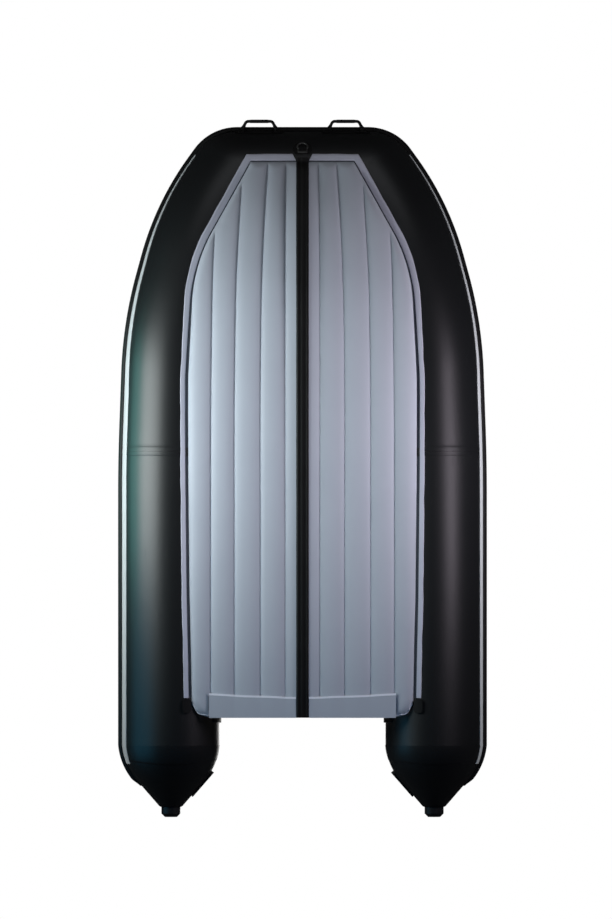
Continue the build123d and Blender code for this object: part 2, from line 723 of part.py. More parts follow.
def build():
    """Every piece in the hull frame, by name."""
    pieces = {}
    floor = air_floor()
    keel = keel_strip(floor)
    board = transom()
    tape = bonding_tape()
    pieces["bow_chamber"] = bow_chamber()
    both_sides(pieces, "side_chamber", side_chamber())
    both_sides(pieces, "tail_cone", tail_cone())
    both_sides(pieces, "cone_cap", cone_cap())
    pieces["rub_strake"] = rub_strake()
    pieces["strake_band"] = strake_band()
    pieces["air_floor"] = floor
    pieces["bonding_tape"] = tape
    pieces["keel_strip"] = keel
    pieces["stern_flap"] = stern_flap(floor, keel)
    pieces["bow_ring_patch"] = bow_ring_patch(tape)
    pieces["bow_ring"] = bow_ring()
    both_sides(pieces, "bow_handle", handle(on_bow(BOW_HANDLE_ANGLE, BOW_HANDLE_X), bow_cylinder))
    both_sides(pieces, "stern_gusset", stern_gusset(board))
    both_sides(pieces, "tow_pad", tow_pad())
    pieces["transom"] = board
    pieces["motor_pad_outer"] = motor_pad(True)
    pieces["motor_pad_inner"] = motor_pad(False)
    both_sides(pieces, "transom_holder", transom_holder(board))
    pieces["drain_valve"] = drain_valve()
    both_sides(pieces, "seat_rail", seat_rail())
    for name, y in (("fore", SEAT_FORE_Y), ("aft", SEAT_AFT_Y)):
        pieces["seat_" + name] = seat(y)
        both_sides(pieces, "slider_" + name, slider(y))
    both_sides(pieces, "rowlock_socket", rowlock_socket())
    both_sides(pieces, "rowlock", rowlock())
    both_sides(pieces, "side_handle", handle(on_side(-SIDE_HANDLE_ANGLE, SIDE_HANDLE_Y), side_cylinder))
    both_sides(pieces, "side_valve", valve(on_side(VALVE_ANGLE, VALVE_Y), side_cylinder))
    pieces["bow_valve"] = valve(on_bow(180 + VALVE_ANGLE, 0), bow_cylinder)
    pieces["floor_valve"] = floor_valve(floor)
    return pieces


def stance():
    """The boat at rest on level ground: on the stern of both tubes and the deepest part of the keel."""
    depths = [(row[1] - CHANNEL_BULGE - KEEL_THICK, row[0]) for row in FLOOR_STATIONS]
    pitch = max(math.atan2(-z, STERN_Y - y) for z, y in depths)
    lift = STERN_Y * math.sin(pitch)
    return Pos(0, 0, lift) * Rot(-math.degrees(pitch), 0, 0)


def settled(pieces):
    """Pieces standing on z = 0, with the middle of the boat's box over the origin."""
    placed = {name: stance() * shape for name, shape in pieces.items()}
    boxes = [shape.bounding_box() for shape in placed.values()]
    middle = (min(b.min.Y for b in boxes) + max(b.max.Y for b in boxes)) / 2
    return {name: Pos(0, -middle, 0) * shape for name, shape in placed.items()}


if __name__ == "__main__":
    os.makedirs("parts", exist_ok=True)
    for name, shape in settled(build()).items():
        export_step(shape, "parts/" + name + ".step")
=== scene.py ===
import math

import bmesh
import bpy
import numpy as np
from mathutils import Matrix, Vector


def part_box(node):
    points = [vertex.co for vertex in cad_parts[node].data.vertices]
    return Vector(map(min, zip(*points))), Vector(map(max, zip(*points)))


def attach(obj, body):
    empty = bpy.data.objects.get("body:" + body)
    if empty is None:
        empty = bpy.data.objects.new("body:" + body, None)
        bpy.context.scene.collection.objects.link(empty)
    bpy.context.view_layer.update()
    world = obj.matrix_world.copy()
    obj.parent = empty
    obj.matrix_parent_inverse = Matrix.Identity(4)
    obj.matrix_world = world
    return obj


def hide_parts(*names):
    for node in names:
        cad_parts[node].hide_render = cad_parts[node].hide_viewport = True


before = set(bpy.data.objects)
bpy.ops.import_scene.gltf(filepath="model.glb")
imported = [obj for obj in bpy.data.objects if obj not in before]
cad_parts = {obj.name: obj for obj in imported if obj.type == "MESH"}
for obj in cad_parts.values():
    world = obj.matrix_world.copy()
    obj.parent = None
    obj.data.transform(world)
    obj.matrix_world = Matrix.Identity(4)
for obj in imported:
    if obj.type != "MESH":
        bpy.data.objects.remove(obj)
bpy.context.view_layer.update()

# Looks of an inflatable dinghy: air chambers, ribbed floor, tapes, strake and fittings.
# Metres. In the hull frame X is to port, Y aft and Z up from the bottom of the level side tubes;
# to_boat() turns it into the frame of the boat at rest.

# Sign of X on each side, directions, and a distance that stands for nothing near
SIDES = {"port": 1, "starboard": -1}
ACROSS = np.array([-1.0, 0.0, 0.0])
FORE = np.array([0, -1.0, 0])
UP = np.array([0, 0, 1.0])
FAR = 9.0

# Tube
TUBE_R = 0.225
TUBE_X = 0.608
STERN_Y = 1.280
SEAM_Y = -0.069
BOW_Y = -1.335
BOW_X = 0.303
BOW_Z = TUBE_R + 0.205
GLUE = 0.0003
CHAMBER_GAP = 0.0004
MITRE_BACK = 0.01
TUBE_SIDES = 112
BOW_HOOP_STEP = 0.018
SIDE_HOOP_STEP = 0.020
CORNER_HOOPS = 16
ACROSS_STEP = 0.030
PATH_STEP = 0.004
AXIS_STEP = 0.012

# Distances within which points of a mesh are joined
WELD = 0.0003
FLOOR_WELD = 0.0004

# Bends of the port tube's centre line. Columns: x, y, rise, bend radius.
TUBE_BENDS = [
    (0.608, -0.030, 0.0, 5.0),
    (0.587, -0.636, 0.030, 1.5),
    (0.455, -1.123, 0.130, 1.2),
]

# Lap of the tube's seam, and puckers on the inner side of the bend ahead of it
SEAM_LIP = 0.0008
SEAM_WIDTH = 0.018
SEAM_EDGE = 0.002
PUCKER_HEIGHT = 0.0009
PUCKER_LENGTH = 0.043
PUCKER_AHEAD = 0.85
PUCKER_REACH = 0.35
FABRIC_WAVE = 0.0004

# Tail cone. Columns: y, radius.
CONE_SHOULDER = (1.441, 0.159)
CONE_END = (1.566, 0.050)
CONE_BULGE = 0.014
CONE_SIDES = 96
CONE_HOOP_STEP = 0.009
CONE_SEAM_Y = 1.359
CONE_SEAM_LIP = 0.0015
CONE_SEAM_EDGE = 0.001
CONE_SEAM_LEAN = 0.010
CONE_LEAN_REACH = 0.060
CONE_ROUND = 0.004
CONE_ROUND_SHARE = 0.08

# Rub strake
STRAKE_STEP = 0.020
STRAKE_TAIL_STEP = 0.008
STRAKE_CORNER_STEPS = 17
BAND_ANGLE = 24.5
BAND_THICK = 0.003
BAND_FOOT = 0.003
BAND_TAIL_Y = 1.366
BAND_FRONT_Y = -1.330
BAND_GAP_ANGLE = 0.5
BAND_PORT_NARROWER = 4.0
BEAD_ANGLE = 8.0
BEAD_PROUD = 0.019
BEAD_TAIL_Y = 1.468
BEAD_FOOT = [(-0.004, -BEAD_ANGLE), (0.002, -BEAD_ANGLE)]
BEAD_FOOT_HEIGHT = 0.003
BEAD_ARCH_SHARE = 0.86
BEAD_POWER = 0.8
BEAD_TAIL_SCALE = 0.35
STRAKE_CLEAR = 0.004

# Free edge of a pale band off the strake's middle: y, degrees near the bow, then y, share of its full angle
BAND_EDGE_BOW = [(-1.330, 11.5), (-1.180, 13.5)]
BAND_EDGE_AFT = [(-0.950, 0.75), (-0.350, 1.0)]

# Air floor. Columns: y, underside at the keel, underside at the tape, top at the seams,
# then x of the four seams and of the edge of the V.
FLOOR_STATIONS = [
    (1.150, 0.008, 0.013, 0.084, 0.080, 0.194, 0.314, 0.423, 0.530),
    (0.300, -0.010, 0.012, 0.078, 0.080, 0.194, 0.314, 0.423, 0.530),
    (-0.450, -0.035, 0.014, 0.072, 0.080, 0.193, 0.312, 0.420, 0.530),
    (-0.900, -0.008, 0.068, 0.104, 0.079, 0.185, 0.303, 0.412, 0.525),
    (-1.180, 0.075, 0.143, 0.190, 0.078, 0.172, 0.288, 0.400, 0.510),
    (-1.416, 0.212, 0.212, 0.280, 0.076, 0.158, 0.275, 0.390, 0.490),
]
FLOOR_STEP = 0.0125
CHANNEL_COLUMNS = 10
CHANNEL_BULGE = 0.010
CHANNEL_POWER = 2.4
CHANNEL_EASE = 0.030
SEAM_DIP = 0.004
SEAM_PINCH = 0.0018
SEAM_PINCH_WIDTH = 0.003
FLOOR_PUCKER = 0.0007
FLOOR_PUCKER_REACH = (0.10, 0.08)
FLOOR_PUCKER_LENGTHS = (0.047, 0.071)
FLOOR_END_Y = 1.150
FLOOR_ROLL = 0.016
RIM_THICK = 0.012
TUBE_CLEAR = (0.0025, 0.0005)
TOP_OVERLAP = 0.004
LEAST_THICK = 0.001
TRANSOM_Y = 1.095
TRANSOM_STEP = 0.002
TRANSOM_FOOT_Z = 0.014

# Stern corner of the floor in plan, port side. Columns: x, y.
FLOOR_CORNER = [
    (0.600, 1.040), (0.512, 1.062), (0.508, 1.092), (0.483, 1.136), (0.441, 1.142), (0.425, 1.150),
]

# Pale welt at the floor's stern corner. Columns: x, y.
WELT_LINE = [(0.506, 1.086), (0.481, 1.133), (0.441, 1.139), (0.385, 1.144), (0.300, 1.149)]
WELT_BENDS = [0.018, 0.012, 0.030]
WELT_R = 0.0021
WELT_STEP = 0.006
WELT_SIDES = 8

# Bonding tape in plan. Columns of the lean: y, how far the outer edge leans in.
TAPE_FRONT_Y = -1.451
TAPE_CORNER_X = 0.258
TAPE_BEND = (0.536, -0.950)
TAPE_SIDE_X = 0.563
TAPE_SIDE_Y = -0.420
TAPE_BEND_RADII = [0.800, 1.5]
TAPE_STEP = 0.014
TAPE_FRONT_COLUMNS = 19
TAPE_LEAN = [(0.0, 0.0), (0.60, 0.0063), (0.84, 0.0120), (1.06, 0.0160)]
TAPE_WIDTH = 0.036
TAPE_THICK = 0.0025
TAPE_SUNK = 0.003
TAPE_END_Y = 1.063
TAPE_WAVE = 0.0014
TAPE_WAVE_LENGTHS = (0.21, 0.13, 0.34)
TAPE_SLANT = 0.016

# Tape's columns, as shares of its width from its outer edge, and its thickness at each
TAPE_SHARES = np.array([0, 0.1, 0.35, 0.7, 0.92, 1.0])
TAPE_SHARE_THICK = np.array([0.0006, 1, 1, 1, 1, 0.6])

# Crease between tape and floor: its widths, the y from which it widens and over what length,
# and how far its dark bottom, a strip of painted shade, lies back from the floor
CREASE_WIDTH = (0.005, 0.0135)
CREASE_WIDENS = (-1.2, 0.8)
CREASE_BACK = (0.0132, 0.0060, 0.0)
CREASE_THICK = (0.0006, 0.002)

# Keel strip and stern flap. Columns of the section: x, z. The flap's lip: its reach fore and aft of the
# edge, its thickness and how far it stands proud.
KEEL_WIDTH = 0.058
KEEL_THICK = 0.006
KEEL_SECTION = [
    (-0.0290, 0.0060), (-0.0290, -0.0015), (-0.0250, -0.0030), (-0.0230, -0.0052), (-0.0185, -0.0056),
    (-0.0165, -0.0035), (-0.0075, -0.0035), (-0.0055, -0.0060), (0.0, -0.0064),
]
KEEL_FRONT_ROWS = 5
KEEL_FRONT = 0.016
KEEL_BESIDE = 0.001
FLAP_Y = 1.042
FLAP_SWEEP = 0.016
FLAP_X = 0.425
FLAP_OVER = 0.006
FLAP_THICK = 0.002
FLAP_WAVE = 0.0008
FLAP_WAVE_LENGTH = 0.035
FLAP_SWEEP_POWER = 1.5
FLAP_PAST_END = 0.0015
FLAP_COLUMNS = 46
FLAP_ROWS = 12
FLAP_TAUT = 0.85
FLAP_LIP = (0.0036, 0.0060, 0.0022, 0.0005)
LAID_ON = 0.0004

# Bow handles and side handles. Columns of the foot: share of its width, height.
HANDLE_SPAN = 0.172
HANDLE_BAR = 0.7
HANDLE_RISE = 0.050
HANDLE_SUNK = 0.004
HANDLE_BEND = 0.016
HANDLE_BAR_R = 0.0070
HANDLE_GRIP = 0.0012
HANDLE_GRIP_SHARE = 0.75
HANDLE_GRIP_EDGE = 0.006
HANDLE_FLARE = 0.0060
HANDLE_FLARE_TOP = 0.036
HANDLE_FLARE_REACH = 0.030
HANDLE_FOOT = [(1.0, -0.010), (1.0, 0.004), (0.94, 0.0075), (0.72, 0.0100), (0.45, 0.0105)]
HANDLE_FOOT_HALF = 0.020
HANDLE_FOOT_IN = 0.003
HANDLE_FOOT_SIDES = 28
HANDLE_FOOT_POWER = 0.55
BOW_HANDLE_X = 0.200
BOW_HANDLE_ANGLE = 78
SIDE_HANDLE_Y = 0.860
SIDE_HANDLE_ANGLE = -30

# Patches. Columns: half length, half width, power that squares the outline, thickness.
HANDLE_PATCH = (0.113, 0.035, 2 / 5, 0.0018)
RING_STRAP = (0.023, 0.0105, 2 / 7, 0.0115)
PATCH_SHARES = (0.35, 0.65, 0.85, 0.97, 1.0)
PATCH_SIDES = 72

# Bow ring
RING_ANGLE = 38
RING_STRAP_ANGLE = 34.6
RING_R = 0.023
RING_ROD_R = 0.0035
RING_LEG = 0.008
RING_LIFT = 0.0065
RING_CORNER = 0.0035

# Rowlocks. Columns of the shaft: radius, height over the top of the socket.
ROWLOCK_Y = 0.520
SOCKET_TOP = 2 * TUBE_R + 0.040
SHAFT = [
    (0.0060, -0.036), (0.00635, -0.035), (0.00635, 0.0004), (0.0140, 0.0006), (0.0150, 0.0016),
    (0.0150, 0.0054), (0.0138, 0.0066), (0.0080, 0.0080), (0.0065, 0.0120),
]
HORN_R = 0.028
HORN_ROD_R = 0.0055
HORN_ARM = 0.026
HORN_FOOT = 0.004
KNOB_R = (0.0074, 0.0080)

SEAT_FORE_Y = 0.280


def stance_matrix():
    """Hull frame to the frame of the boat at rest, on its sterns and the deepest part of the keel."""
    drop = CHANNEL_BULGE + KEEL_THICK
    pitch = max(math.atan2(drop - row[1], STERN_Y - row[0]) for row in FLOOR_STATIONS)
    turn = Matrix.Rotation(-pitch, 4, "X")
    lift = STERN_Y * math.sin(pitch)
    low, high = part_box("seat_fore")
    middle = (low + high) / 2
    seat_z = (middle.z - lift + SEAT_FORE_Y * math.sin(pitch)) / math.cos(pitch)
    shift = middle.y - (turn @ Vector((0, SEAT_FORE_Y, seat_z))).y
    return Matrix.Translation((0, shift, lift)) @ turn


STANCE = stance_matrix()


def to_boat(points):
    """Points of the hull frame in the frame of the boat at rest."""
    turn = np.array(STANCE.to_3x3())
    return np.asarray(points, dtype=float) @ turn.T + np.array(STANCE.translation)


def unit(vectors):
    vectors = np.asarray(vectors, dtype=float)
    return vectors / np.linalg.norm(vectors, axis=-1, keepdims=True)


def smooth(t):
    """Smooth step from 0 to 1."""
    t = np.clip(t, 0.0, 1.0)
    return t * t * (3 - 2 * t)


def waves(x, seed, *lengths):
    """Sum of sine waves of the given lengths, from -1 to 1, for slight unevenness."""
    rng = np.random.default_rng(seed)
    return sum(np.sin(2 * math.pi * x / length + rng.uniform(0, 6.3)) for length in lengths) / len(lengths)


def mirrored(points):
    return np.asarray(points) * (-1, 1, 1)


def for_side(side, hoops):
    """Hoops made for the port side, mirrored where the side is starboard."""
    return [mirrored(h) for h in hoops] if side == "starboard" else hoops


def across_boat(hoops):
    """Hoops from the port side to the middle, carried on to the starboard side."""
    return hoops + [mirrored(h) for h in hoops[::-1][1:]]


def rounded_path(points, radii, step):
    """Close-spaced points along a polyline whose corners are rounded by arcs."""
    points = [np.array(p, dtype=float) for p in points]
    run = [points[0]]

    def line_to(end):
        start = run[-1]
        count = max(1, int(math.ceil(np.linalg.norm(end - start) / step)))
        for i in range(1, count + 1):
            run.append(start + (end - start) * i / count)

    for before, corner, after, radius in zip(points, points[1:], points[2:], radii):
        a = unit(before - corner)
        b = unit(after - corner)
        half = math.acos(float(np.clip(a @ b, -1, 1))) / 2
        reach = radius / math.tan(half)
        line_to(corner + a * reach)
        centre = corner + unit(a + b) * radius / math.sin(half)
        start = corner + a * reach - centre
        end = corner + b * reach - centre
        turn = math.pi - 2 * half
        count = max(2, int(math.ceil(radius * turn / step)))
        for i in range(1, count + 1):
            t = turn * i / count
            run.append(centre + (math.sin(turn - t) * start + math.sin(t) * end) / math.sin(turn))
    line_to(points[-1])
    return np.array(run)


def lengths(path):
    """Distance along a path at each of its points."""
    steps = np.linalg.norm(np.diff(path, axis=0), axis=1)
    return np.concatenate([[0], np.cumsum(steps)])


def at_lengths(path, wanted):
    """Points and directions at given distances along a path."""
    run = lengths(path)

    def read(values):
        return np.stack([np.interp(wanted, run, values[:, i]) for i in range(3)], axis=1)

    return read(path), unit(read(unit(np.gradient(path, axis=0))))


def steps_between(start, end, step, extra=()):
    """Even steps from start to end with extra places added."""
    count = max(1, int(round(abs(end - start) / step)))
    places = np.concatenate([np.linspace(start, end, count + 1), list(extra)])
    return np.unique(np.round(places, 6))


def bow_point(x):
    """Centre of the bow tube at a place across the boat."""
    return np.array([x, BOW_Y, BOW_Z])


ARM_CORNERS = [(TUBE_X, STERN_Y, TUBE_R)]
ARM_CORNERS += [(x, y, TUBE_R + rise) for x, y, rise, _ in TUBE_BENDS]
ARM_CORNERS.append((BOW_X, BOW_Y, BOW_Z))
ARM = rounded_path(ARM_CORNERS, [bend[3] for bend in TUBE_BENDS], PATH_STEP)
ARM_LENGTH = lengths(ARM)[-1]
BOW_CORNER = ARM[-1]
SEAM_AT = float(np.interp(-SEAM_Y, -ARM[:, 1], lengths(ARM)))

# The arm's direction at its end, the normal of the mitre where it meets the bow piece, and the
# bow piece's front carried back over the mitre to the arm's outer side
ARM_AHEAD = at_lengths(ARM, [ARM_LENGTH - MITRE_BACK])[1][0]
MITRE = unit(ARM_AHEAD + ACROSS)
ARM_OUT = FORE - 2 * (FORE @ MITRE) * MITRE


def axis_points():
    """Centre line of the whole tube, for finding the tube's surface from below."""
    arm, _ = at_lengths(ARM, steps_between(0, ARM_LENGTH, AXIS_STEP))
    bow = [bow_point(x) for x in np.arange(BOW_X, 0, -AXIS_STEP)]
    port = np.vstack([arm, bow[1:]])
    return np.vstack([port, mirrored(port)])


AXIS = axis_points()


def tube_under(x, y):
    """Height of the tube's underside over plan points, or a large number where there is no tube."""
    result = np.full(np.shape(x), FAR)
    for centre in AXIS:
        gap = TUBE_R ** 2 - (x - centre[0]) ** 2 - (y - centre[1]) ** 2
        inside = gap > 0
        result[inside] = np.minimum(result[inside], centre[2] - np.sqrt(gap[inside]))
    return result


def add_object(name, data):
    obj = bpy.data.objects.new(name, data)
    bpy.context.scene.collection.objects.link(obj)
    return obj


def add_mesh(name, points, faces, material, smooth_angle, merge):
    """Mesh object from hull-frame points, welded, with outward faces."""
    mesh = bpy.data.meshes.new(name)
    mesh.from_pydata(to_boat(points).tolist(), [], [list(f) for f in faces])
    work = bmesh.new()
    work.from_mesh(mesh)
    if merge:
        bmesh.ops.remove_doubles(work, verts=work.verts, dist=merge)
        bmesh.ops.dissolve_degenerate(work, dist=merge / 4, edges=work.edges)
    bmesh.ops.recalc_face_normals(work, faces=work.faces)
    work.to_mesh(mesh)
    work.free()
    mesh.shade_smooth()
    mesh.set_sharp_from_angle(angle=math.radians(smooth_angle))
    mesh.materials.append(material)
    return add_object(name, mesh)


def grid_faces(rows, columns, around=False):
    """Quads between rows of points; around joins the last column to the first."""
    faces = []
    for i in range(rows - 1):
        for j in range(columns if around else columns - 1):
            k = (j + 1) % columns
            faces.append((i * columns + j, i * columns + k, (i + 1) * columns + k, (i + 1) * columns + j))
    return faces


def hoops_mesh(name, hoops, material, merge=0.0, smooth_angle=50):
    """Closed skin through a run of hoops, with its ends closed by a point in the middle."""
    hoops = np.asarray(hoops)
    rows, columns = hoops.shape[:2]
    points = list(hoops.reshape(-1, 3))
    faces = grid_faces(rows, columns, around=True)
    for row in (0, rows - 1):
        points.append(hoops[row].mean(axis=0))
        hub = len(points) - 1
        for j in range(columns):
            faces.append((row * columns + j, row * columns + (j + 1) % columns, hub))
    return add_mesh(name, points, faces, material, smooth_angle, merge)


def strip_mesh(name, top, bottom, material, merge=0.0, smooth_angle=40):
    """Closed sheet between two matching grids of points."""
    rows, columns = top.shape[:2]
    count = rows * columns
    points = np.vstack([top.reshape(-1, 3), bottom.reshape(-1, 3)])
    faces = grid_faces(rows, columns)
    faces += [tuple(i + count for i in f[::-1]) for f in faces]
    index = np.arange(count).reshape(rows, columns)
    rim = np.concatenate([index[0], index[1:, -1], index[-1, -2::-1], index[-2:0:-1, 0]]).tolist()
    for a, b in zip(rim, rim[1:] + rim[:1]):
        faces.append((a, a + count, b + count, b))
    return add_mesh(name, points, faces, material, smooth_angle, merge)


def ring_angles(count):
    return np.linspace(0, 2 * math.pi, count, endpoint=False)


def hoop(centre, out, up, radius, angles):
    """Ring of points round a centre; radius is one value or one for each angle."""
    radius = np.broadcast_to(radius, np.shape(angles))[:, None]
    return centre + np.cos(angles)[:, None] * out * radius + np.sin(angles)[:, None] * up * radius


def carried_outs(ahead, last):
    """Directions square to a path, carried back from its end without twist."""
    outs = [last]
    for direction in ahead[::-1][1:]:
        out = outs[-1] - (outs[-1] @ direction) * direction
        outs.append(out / np.linalg.norm(out))
    return np.array(outs[::-1])


def skin_radius(along, angles):
    """Tube's radius: the lap of the seam band and a little unevenness in the fabric."""
    lap = SEAM_LIP * (1 - smooth((abs(along - SEAM_AT) - SEAM_WIDTH) / SEAM_EDGE))
    inner = np.clip(-np.cos(angles), 0, 1)
    bend = math.exp(-((along - SEAM_AT - PUCKER_AHEAD) / PUCKER_REACH) ** 2)
    puckers = PUCKER_HEIGHT * bend * inner * math.sin(2 * math.pi * along / PUCKER_LENGTH)
    return TUBE_R + lap + puckers + FABRIC_WAVE * np.sin(3 * angles + 5 * along)


def arm_hoops(start, end, step, angles):
    """Hoops of the port arm; those past the mitre at the bow are cut back to it."""
    edges = [SEAM_AT + side * (SEAM_WIDTH + d) for side in (-1, 1) for d in (0, SEAM_EDGE / 2, SEAM_EDGE)]
    places = steps_between(start, end, step, [p for p in edges if start < p < end])
    all_places = steps_between(0, ARM_LENGTH, SIDE_HOOP_STEP)
    all_outs = carried_outs(at_lengths(ARM, all_places)[1], ARM_OUT)
    hoops = []
    for place, centre, forward in zip(places, *at_lengths(ARM, places)):
        out = np.array([np.interp(place, all_places, all_outs[:, i]) for i in range(3)])
        out = unit(out - (out @ forward) * forward)
        points = hoop(centre, out, np.cross(forward, out), skin_radius(place, angles), angles)
        past = (points - BOW_CORNER) @ MITRE
        points -= np.where(past > 0, past, 0)[:, None] * forward / (forward @ MITRE)
        hoops.append(points)
    return hoops


def corner_hoops(angles):
    """Hoops round the bow corner: a ball outside, gathered in the mitre inside."""
    axis = unit(np.cross(ARM_AHEAD, ACROSS))
    turn = math.acos(float(ARM_AHEAD @ ACROSS))
    outward = unit(np.cross(MITRE, axis))
    arm = hoop(BOW_CORNER, ARM_OUT, np.cross(ARM_AHEAD, ARM_OUT), TUBE_R, angles)
    inner = (arm - BOW_CORNER) @ outward < 1e-6
    past = (arm - BOW_CORNER) @ MITRE
    gathered = arm - past[:, None] * ARM_AHEAD / (ARM_AHEAD @ MITRE)
    hoops = []
    for i in range(1, CORNER_HOOPS):
        rotation = np.array(Matrix.Rotation(turn * i / CORNER_HOOPS, 3, Vector(axis)))
        ball = (arm - BOW_CORNER) @ rotation.T + BOW_CORNER
        hoops.append(np.where(inner[:, None], gathered, ball))
    return hoops


def across_hoops(angles):
    """Hoops of the bow piece from the corner to the middle, cut back to the mitre."""
    hoops = []
    for x in steps_between(0, BOW_X, ACROSS_STEP)[::-1]:
        points = hoop(bow_point(x), FORE, UP, TUBE_R, angles)
        short = (points - BOW_CORNER) @ MITRE
        points -= np.where(short < 0, short, 0)[:, None] * ACROSS / (ACROSS @ MITRE)
        hoops.append(points)
    return hoops


def bow_chamber_skin(material):
    """Bow chamber: both arms forward of the seam, the corners and the bow piece."""
    angles = ring_angles(TUBE_SIDES)
    hoops = arm_hoops(SEAM_AT + CHAMBER_GAP, ARM_LENGTH, BOW_HOOP_STEP, angles)
    hoops += corner_hoops(angles) + across_hoops(angles)
    return hoops_mesh("bow_chamber_skin", across_boat(hoops), material, merge=WELD, smooth_angle=35)


def side_chamber_skin(side, material):
    """Side chamber from its seam with the bow chamber to the cone."""
    hoops = arm_hoops(0, SEAM_AT - CHAMBER_GAP, SIDE_HOOP_STEP, ring_angles(TUBE_SIDES))
    return hoops_mesh("side_chamber_skin_" + side, for_side(side, hoops), material)


def cone_radius(y):
    """Radius of the stern cone at a place along the boat: an arc, then a straight taper."""
    y0, r0 = STERN_Y, TUBE_R
    y2, r2 = CONE_SHOULDER
    y1, r1 = (y0 + y2) / 2, (r0 + r2) / 2 + CONE_BULGE
    ax, ay, bx, by = y1 - y0, r1 - r0, y2 - y0, r2 - r0
    d = 2 * (ax * by - ay * bx)
    cx = (by * (ax**2 + ay**2) - ay * (bx**2 + by**2)) / d
    cy = (ax * (bx**2 + by**2) - bx * (ax**2 + ay**2)) / d
    radius = math.hypot(cx, cy)
    y = np.asarray(y, dtype=float)
    arc = r0 + cy + np.sqrt(np.maximum(radius**2 - (y - y0 - cx) ** 2, 0))
    line = r2 + (y - y2) * (CONE_END[1] - r2) / (CONE_END[0] - y2)
    return np.where(y < y2, arc, line)


def tail_cone_skin(side, material):
    """Stern cone with the lap of its curved seam."""
    angles = ring_angles(CONE_SIDES)
    end_y = CONE_END[0]
    extra = [CONE_SEAM_Y - CONE_SEAM_EDGE, CONE_SEAM_Y + CONE_SEAM_EDGE, end_y - CONE_ROUND]
    hoops = []
    for y in steps_between(STERN_Y, end_y, CONE_HOOP_STEP, extra):
        near_seam = smooth(1 - abs(y - CONE_SEAM_Y) / CONE_LEAN_REACH)
        along = y - CONE_SEAM_LEAN * np.cos(2 * angles) * near_seam
        past_seam = smooth((y - CONE_SEAM_Y + CONE_SEAM_EDGE) / (2 * CONE_SEAM_EDGE))
        radius = cone_radius(along) + CONE_SEAM_LIP * (1 - past_seam)
        radius = radius * (1 - CONE_ROUND_SHARE * smooth((y - end_y + CONE_ROUND) / CONE_ROUND))
        ring = [TUBE_X + radius * np.cos(angles), along, TUBE_R + radius * np.sin(angles)]
        hoops.append(np.stack(ring, axis=1))
    return hoops_mesh("tail_cone_skin_" + side, for_side(side, hoops), material)


def side_stations(tail_y):
    """Centre, outward direction and radius along the port side, from the cone to the bow corner."""
    rows = []
    for y in steps_between(STERN_Y + STRAKE_CLEAR, tail_y, STRAKE_TAIL_STEP)[::-1]:
        rows.append((np.array([TUBE_X, y, TUBE_R]), -ACROSS, float(cone_radius(y))))
    centres, ahead = at_lengths(ARM, steps_between(0, ARM_LENGTH, STRAKE_STEP))
    outs = unit(np.stack([-ahead[:, 1], ahead[:, 0], np.zeros(len(ahead))], axis=1))
    return rows + [(centre, out, TUBE_R) for centre, out in zip(centres, outs)]


def bow_stations(first_out):
    """The same columns from the bow corner round to the middle of the bow."""
    start = math.atan2(first_out[1], first_out[0])
    rows = []
    for i in range(1, STRAKE_CORNER_STEPS + 1):
        angle = start + (-math.pi / 2 - start) * i / STRAKE_CORNER_STEPS
        rows.append((BOW_CORNER, np.array([math.cos(angle), math.sin(angle), 0]), TUBE_R))
    return rows + [(bow_point(x), FORE, TUBE_R) for x in steps_between(0, BOW_X, ACROSS_STEP)[::-1][1:]]


def section_hoop(row, section, scale=1.0):
    """Section of a strip on the skin. Its columns: height above the skin, angle in degrees."""
    centre, out, base = row
    heights, angles = np.array(section).T
    return hoop(centre, out, UP, base + heights * scale, np.radians(angles))


def bead_section():
    """Half-round bead with a foot on each side."""
    arch = []
    for t in np.linspace(0, math.pi, 13):
        height = BEAD_FOOT_HEIGHT + (BEAD_PROUD - BEAD_FOOT_HEIGHT) * math.sin(t) ** BEAD_POWER
        arch.append((height, -BEAD_ARCH_SHARE * BEAD_ANGLE * math.cos(t)))
    return BEAD_FOOT + arch + [(height, -angle) for height, angle in BEAD_FOOT[::-1]]


def rub_strake(material):
    """Black bead round the whole boat, thinner at its tails."""
    rows = side_stations(BEAD_TAIL_Y)
    rows += bow_stations(rows[-1][1])
    hoops = []
    for i, row in enumerate(rows):
        scale = BEAD_TAIL_SCALE + (1 - BEAD_TAIL_SCALE) * float(smooth(i / 4))
        hoops.append(section_hoop(row, bead_section(), scale))
    return hoops_mesh("strake_bead", across_boat(hoops), material, smooth_angle=40)


def band_edge(y, side):
    """Free edge of a pale band in degrees: nearer the bead towards the bow, and narrower to port."""
    full = BAND_ANGLE - (BAND_PORT_NARROWER if side == "port" else 0.0)
    table = BAND_EDGE_BOW + [(place, share * full) for place, share in BAND_EDGE_AFT]
    return float(np.interp(y, *zip(*table)))


def band_section(low, high):
    """Thin band with rounded edges between two angles."""
    t = BAND_THICK
    section = [(-BAND_FOOT, low), (0.6 * t, low), (t, low + 0.5)]
    section += [(t, low + (high - low) * k / 5) for k in range(1, 5)]
    return section + [(t, high - 0.5), (0.6 * t, high), (-BAND_FOOT, high)]


def pale_bands(side, material):
    """Pale bands below and above the bead, from the cone's seam to the bow corner."""
    rows = [row for row in side_stations(BAND_TAIL_Y) if row[0][1] > BAND_FRONT_Y]
    near = BEAD_ANGLE + BAND_GAP_ANGLE
    made = []
    for name in ("lower", "upper"):
        hoops = []
        for row in rows:
            edge = band_edge(row[0][1], side)
            ends = (-edge, -near) if name == "lower" else (near, edge)
            hoops.append(section_hoop(row, band_section(*ends)))
        label = "pale_band_" + name + "_" + side
        made.append(hoops_mesh(label, for_side(side, hoops), material, smooth_angle=40))
    return made


